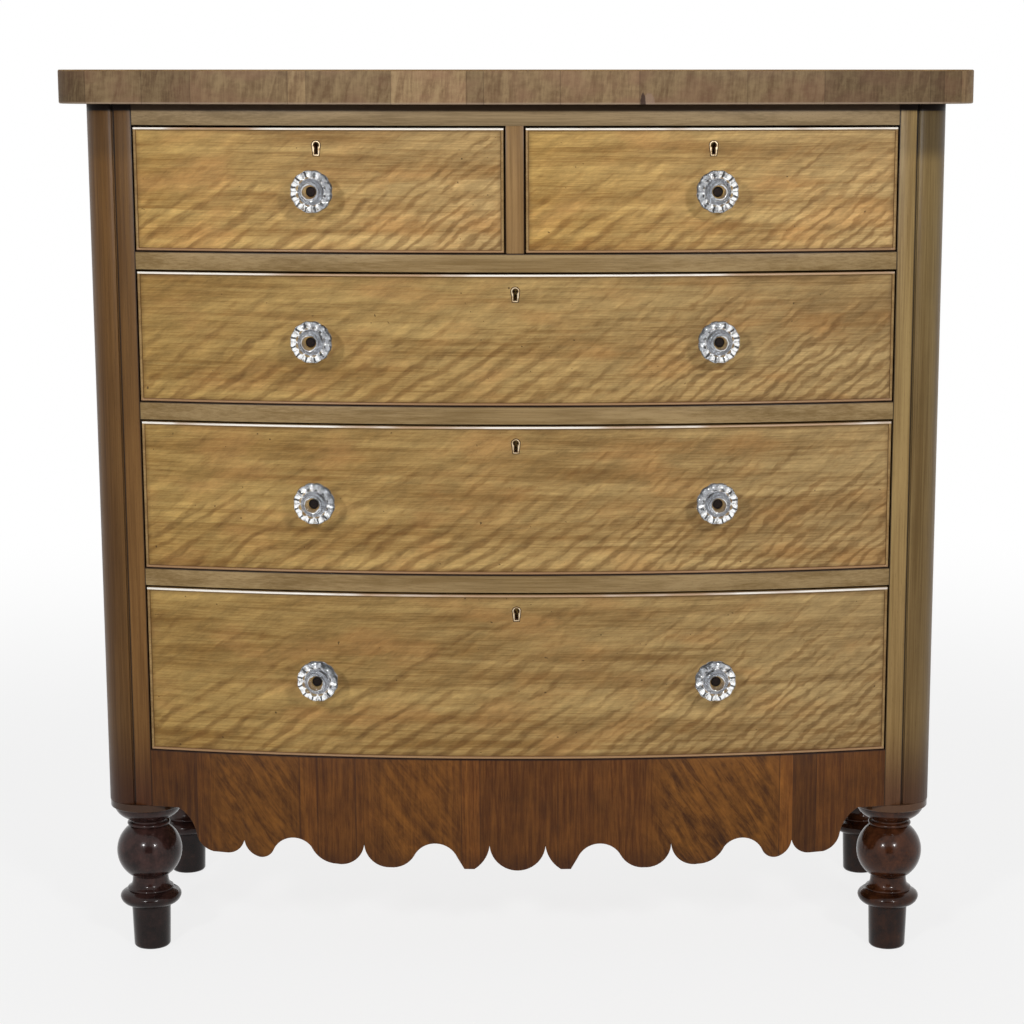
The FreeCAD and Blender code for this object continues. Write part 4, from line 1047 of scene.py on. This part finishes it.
iron = bolt_iron()
for finish in (pressed_glass(), tin_foil(), iron):
    pattern_knob.data.materials.append(finish)
bpy.ops.object.mode_set(mode="EDIT")
bpy.ops.mesh.select_mode(type="FACE")
select_faces(pattern_knob, lambda middle, normal: middle.z < FOIL_HIGH)
pattern_knob.active_material_index = 1
bpy.ops.object.material_slot_assign()
select_faces(pattern_knob, lambda middle, normal: (
    middle.xy.length < RECESS_RADIUS and middle.z > RECESS_FLOOR))
pattern_knob.active_material_index = 2
bpy.ops.object.material_slot_assign()
bpy.ops.object.mode_set(mode="OBJECT")
SHORT_KNOB_X = 0.2345
LONG_KNOB_X = 0.238
KNOBS = {
    "left_short_drawer": (0.96435, (-SHORT_KNOB_X,)),
    "right_short_drawer": (0.96435, (SHORT_KNOB_X,)),
    "upper_long_drawer": (0.7876, (-LONG_KNOB_X, LONG_KNOB_X)),
    "middle_long_drawer": (0.5936, (-LONG_KNOB_X, LONG_KNOB_X)),
    "lower_long_drawer": (0.3751, (-LONG_KNOB_X, LONG_KNOB_X)),
}
for drawer, (height, places) in KNOBS.items():
    for count, x in enumerate(places):
        turn = math.asin(x / BOW_RADIUS)
        seat = Matrix.Translation((x, BOW_AXIS_Y - BOW_RADIUS * math.cos(turn), height))
        seat = seat @ Matrix.Rotation(turn, 4, "Z") @ Matrix.Rotation(math.pi / 2, 4, "X")
        piece = copied(pattern_knob, f"{drawer}_glass_knob_{count}", seat)
        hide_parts(f"{drawer}_knobs")
        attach(piece, drawer)
    nodes[f"{drawer}_knob_bolts"].material_slots[0].material = iron
bpy.data.objects.remove(pattern_knob)


# Stage: a pale floor that keeps the shadow, a white surround, two square lamps in front, a broad soft
# one behind, a dark card for the glass to mirror, and the camera, level with the top and square on.
FLOOR_SIZE = 24
SHADOW_SHARE = 0.2
SHADOW_REACH = (1.0, 3.0)
bpy.ops.object.select_all(action="DESELECT")
bpy.ops.mesh.primitive_plane_add(size=FLOOR_SIZE)
floor = bpy.context.object
floor.name = "studio_floor"
paint = Finish("studio_floor_paint", {"Base Color": (0.82, 0.82, 0.82, 1), "Roughness": 0.9})
rays = [paint.node("ShaderNodeLightPath", {}, {}, ray)
        for ray in ("Is Camera Ray", "Is Glossy Ray", "Is Transmission Ray")]
from_chest = paint.node("ShaderNodeVectorMath", {"operation": "LENGTH"}, {0: paint.place}, "Value")
whiteness = 1 - SHADOW_SHARE + SHADOW_SHARE * paint.step(from_chest, *SHADOW_REACH)
glow = paint.node("ShaderNodeEmission", {}, {"Color": (1, 1, 1, 1), "Strength": 1})
seen = (rays[0] + rays[1] + rays[2]) * whiteness
surfaces = {1: Tone(paint, paint.shader.outputs[0]), 2: glow}
shown = paint.node("ShaderNodeMixShader", {}, {0: seen, **surfaces})
paint.join(paint.tree.nodes["Material Output"].inputs["Surface"], shown)
floor.data.materials.append(paint.material)

AMBIENT = 0.2
world = bpy.data.worlds.new("white_surround")
bpy.context.scene.world = world
world.use_nodes = True
surround = world.node_tree
background = surround.nodes["Background"]
background.inputs["Color"].default_value = (1, 1, 1, 1)
path = surround.nodes.new("ShaderNodeLightPath")
lit_or_seen = path.outputs["Is Camera Ray"]
for ray in ("Is Glossy Ray", "Is Transmission Ray"):
    either = surround.nodes.new("ShaderNodeMath")
    either.operation = "MAXIMUM"
    surround.links.new(lit_or_seen, either.inputs[0])
    surround.links.new(path.outputs[ray], either.inputs[1])
    lit_or_seen = either.outputs[0]
strength = surround.nodes.new("ShaderNodeMapRange")
strength.inputs["To Min"].default_value = AMBIENT
surround.links.new(lit_or_seen, strength.inputs["Value"])
surround.links.new(strength.outputs["Result"], background.inputs["Strength"])

LAMP_TARGET = Vector((0, -0.2, 0.65))
LAMPS = {
    "left_lamp": (-24, 22, 3.4, 0.34, 39),
    "right_lamp": (24, 22, 3.4, 0.34, 39),
    "back_lamp": (180, 25, 3.4, 2.4, 32),
}
for lamp, (around, above, distance, side, power) in LAMPS.items():
    flat = distance * math.cos(math.radians(above))
    offset = Vector((flat * math.sin(math.radians(around)), -flat * math.cos(math.radians(around)),
                     distance * math.sin(math.radians(above))))
    light = bpy.data.lights.new(lamp, "AREA")
    light.shape = "SQUARE"
    light.size = side
    light.energy = power
    holder = bpy.data.objects.new(lamp, light)
    bpy.context.collection.objects.link(holder)
    holder.location = LAMP_TARGET + offset
    holder.rotation_euler = (-offset).to_track_quat("-Z", "Y").to_euler()

CARD_SIZE = 2.2
CARD_PLACE = (0, -4.6, 1.2)
CARD_TURN = (math.pi / 2, 0, 0)
bpy.ops.object.select_all(action="DESELECT")
bpy.ops.mesh.primitive_plane_add(size=CARD_SIZE, location=CARD_PLACE, rotation=CARD_TURN)
card = bpy.context.object
card.name = "dark_card"
card.visible_camera = False
card.visible_diffuse = False
card.visible_shadow = False
black = Finish("card_paint", {"Base Color": (0.01, 0.01, 0.01, 1), "Roughness": 1})
card.data.materials.append(black.material)

SENSOR = 36
PICTURE = 1024
FOCAL_PIXELS = 2485.8
LENS_SHIFT = (-0.0592, 0.0160)
EYE_PLACE = (0.0681, -3.1645, 1.104)
EYE_PITCH = 0.1822
lens = bpy.data.cameras.new("photo_camera")
lens.sensor_width = SENSOR
lens.lens = FOCAL_PIXELS / PICTURE * SENSOR
lens.shift_x, lens.shift_y = LENS_SHIFT
eye = bpy.data.objects.new("photo_camera", lens)
bpy.context.collection.objects.link(eye)
eye.location = EYE_PLACE
eye.rotation_euler = (math.pi / 2 - EYE_PITCH, 0, 0)
bpy.context.scene.camera = eye
bpy.context.scene.view_settings.view_transform = "Standard"
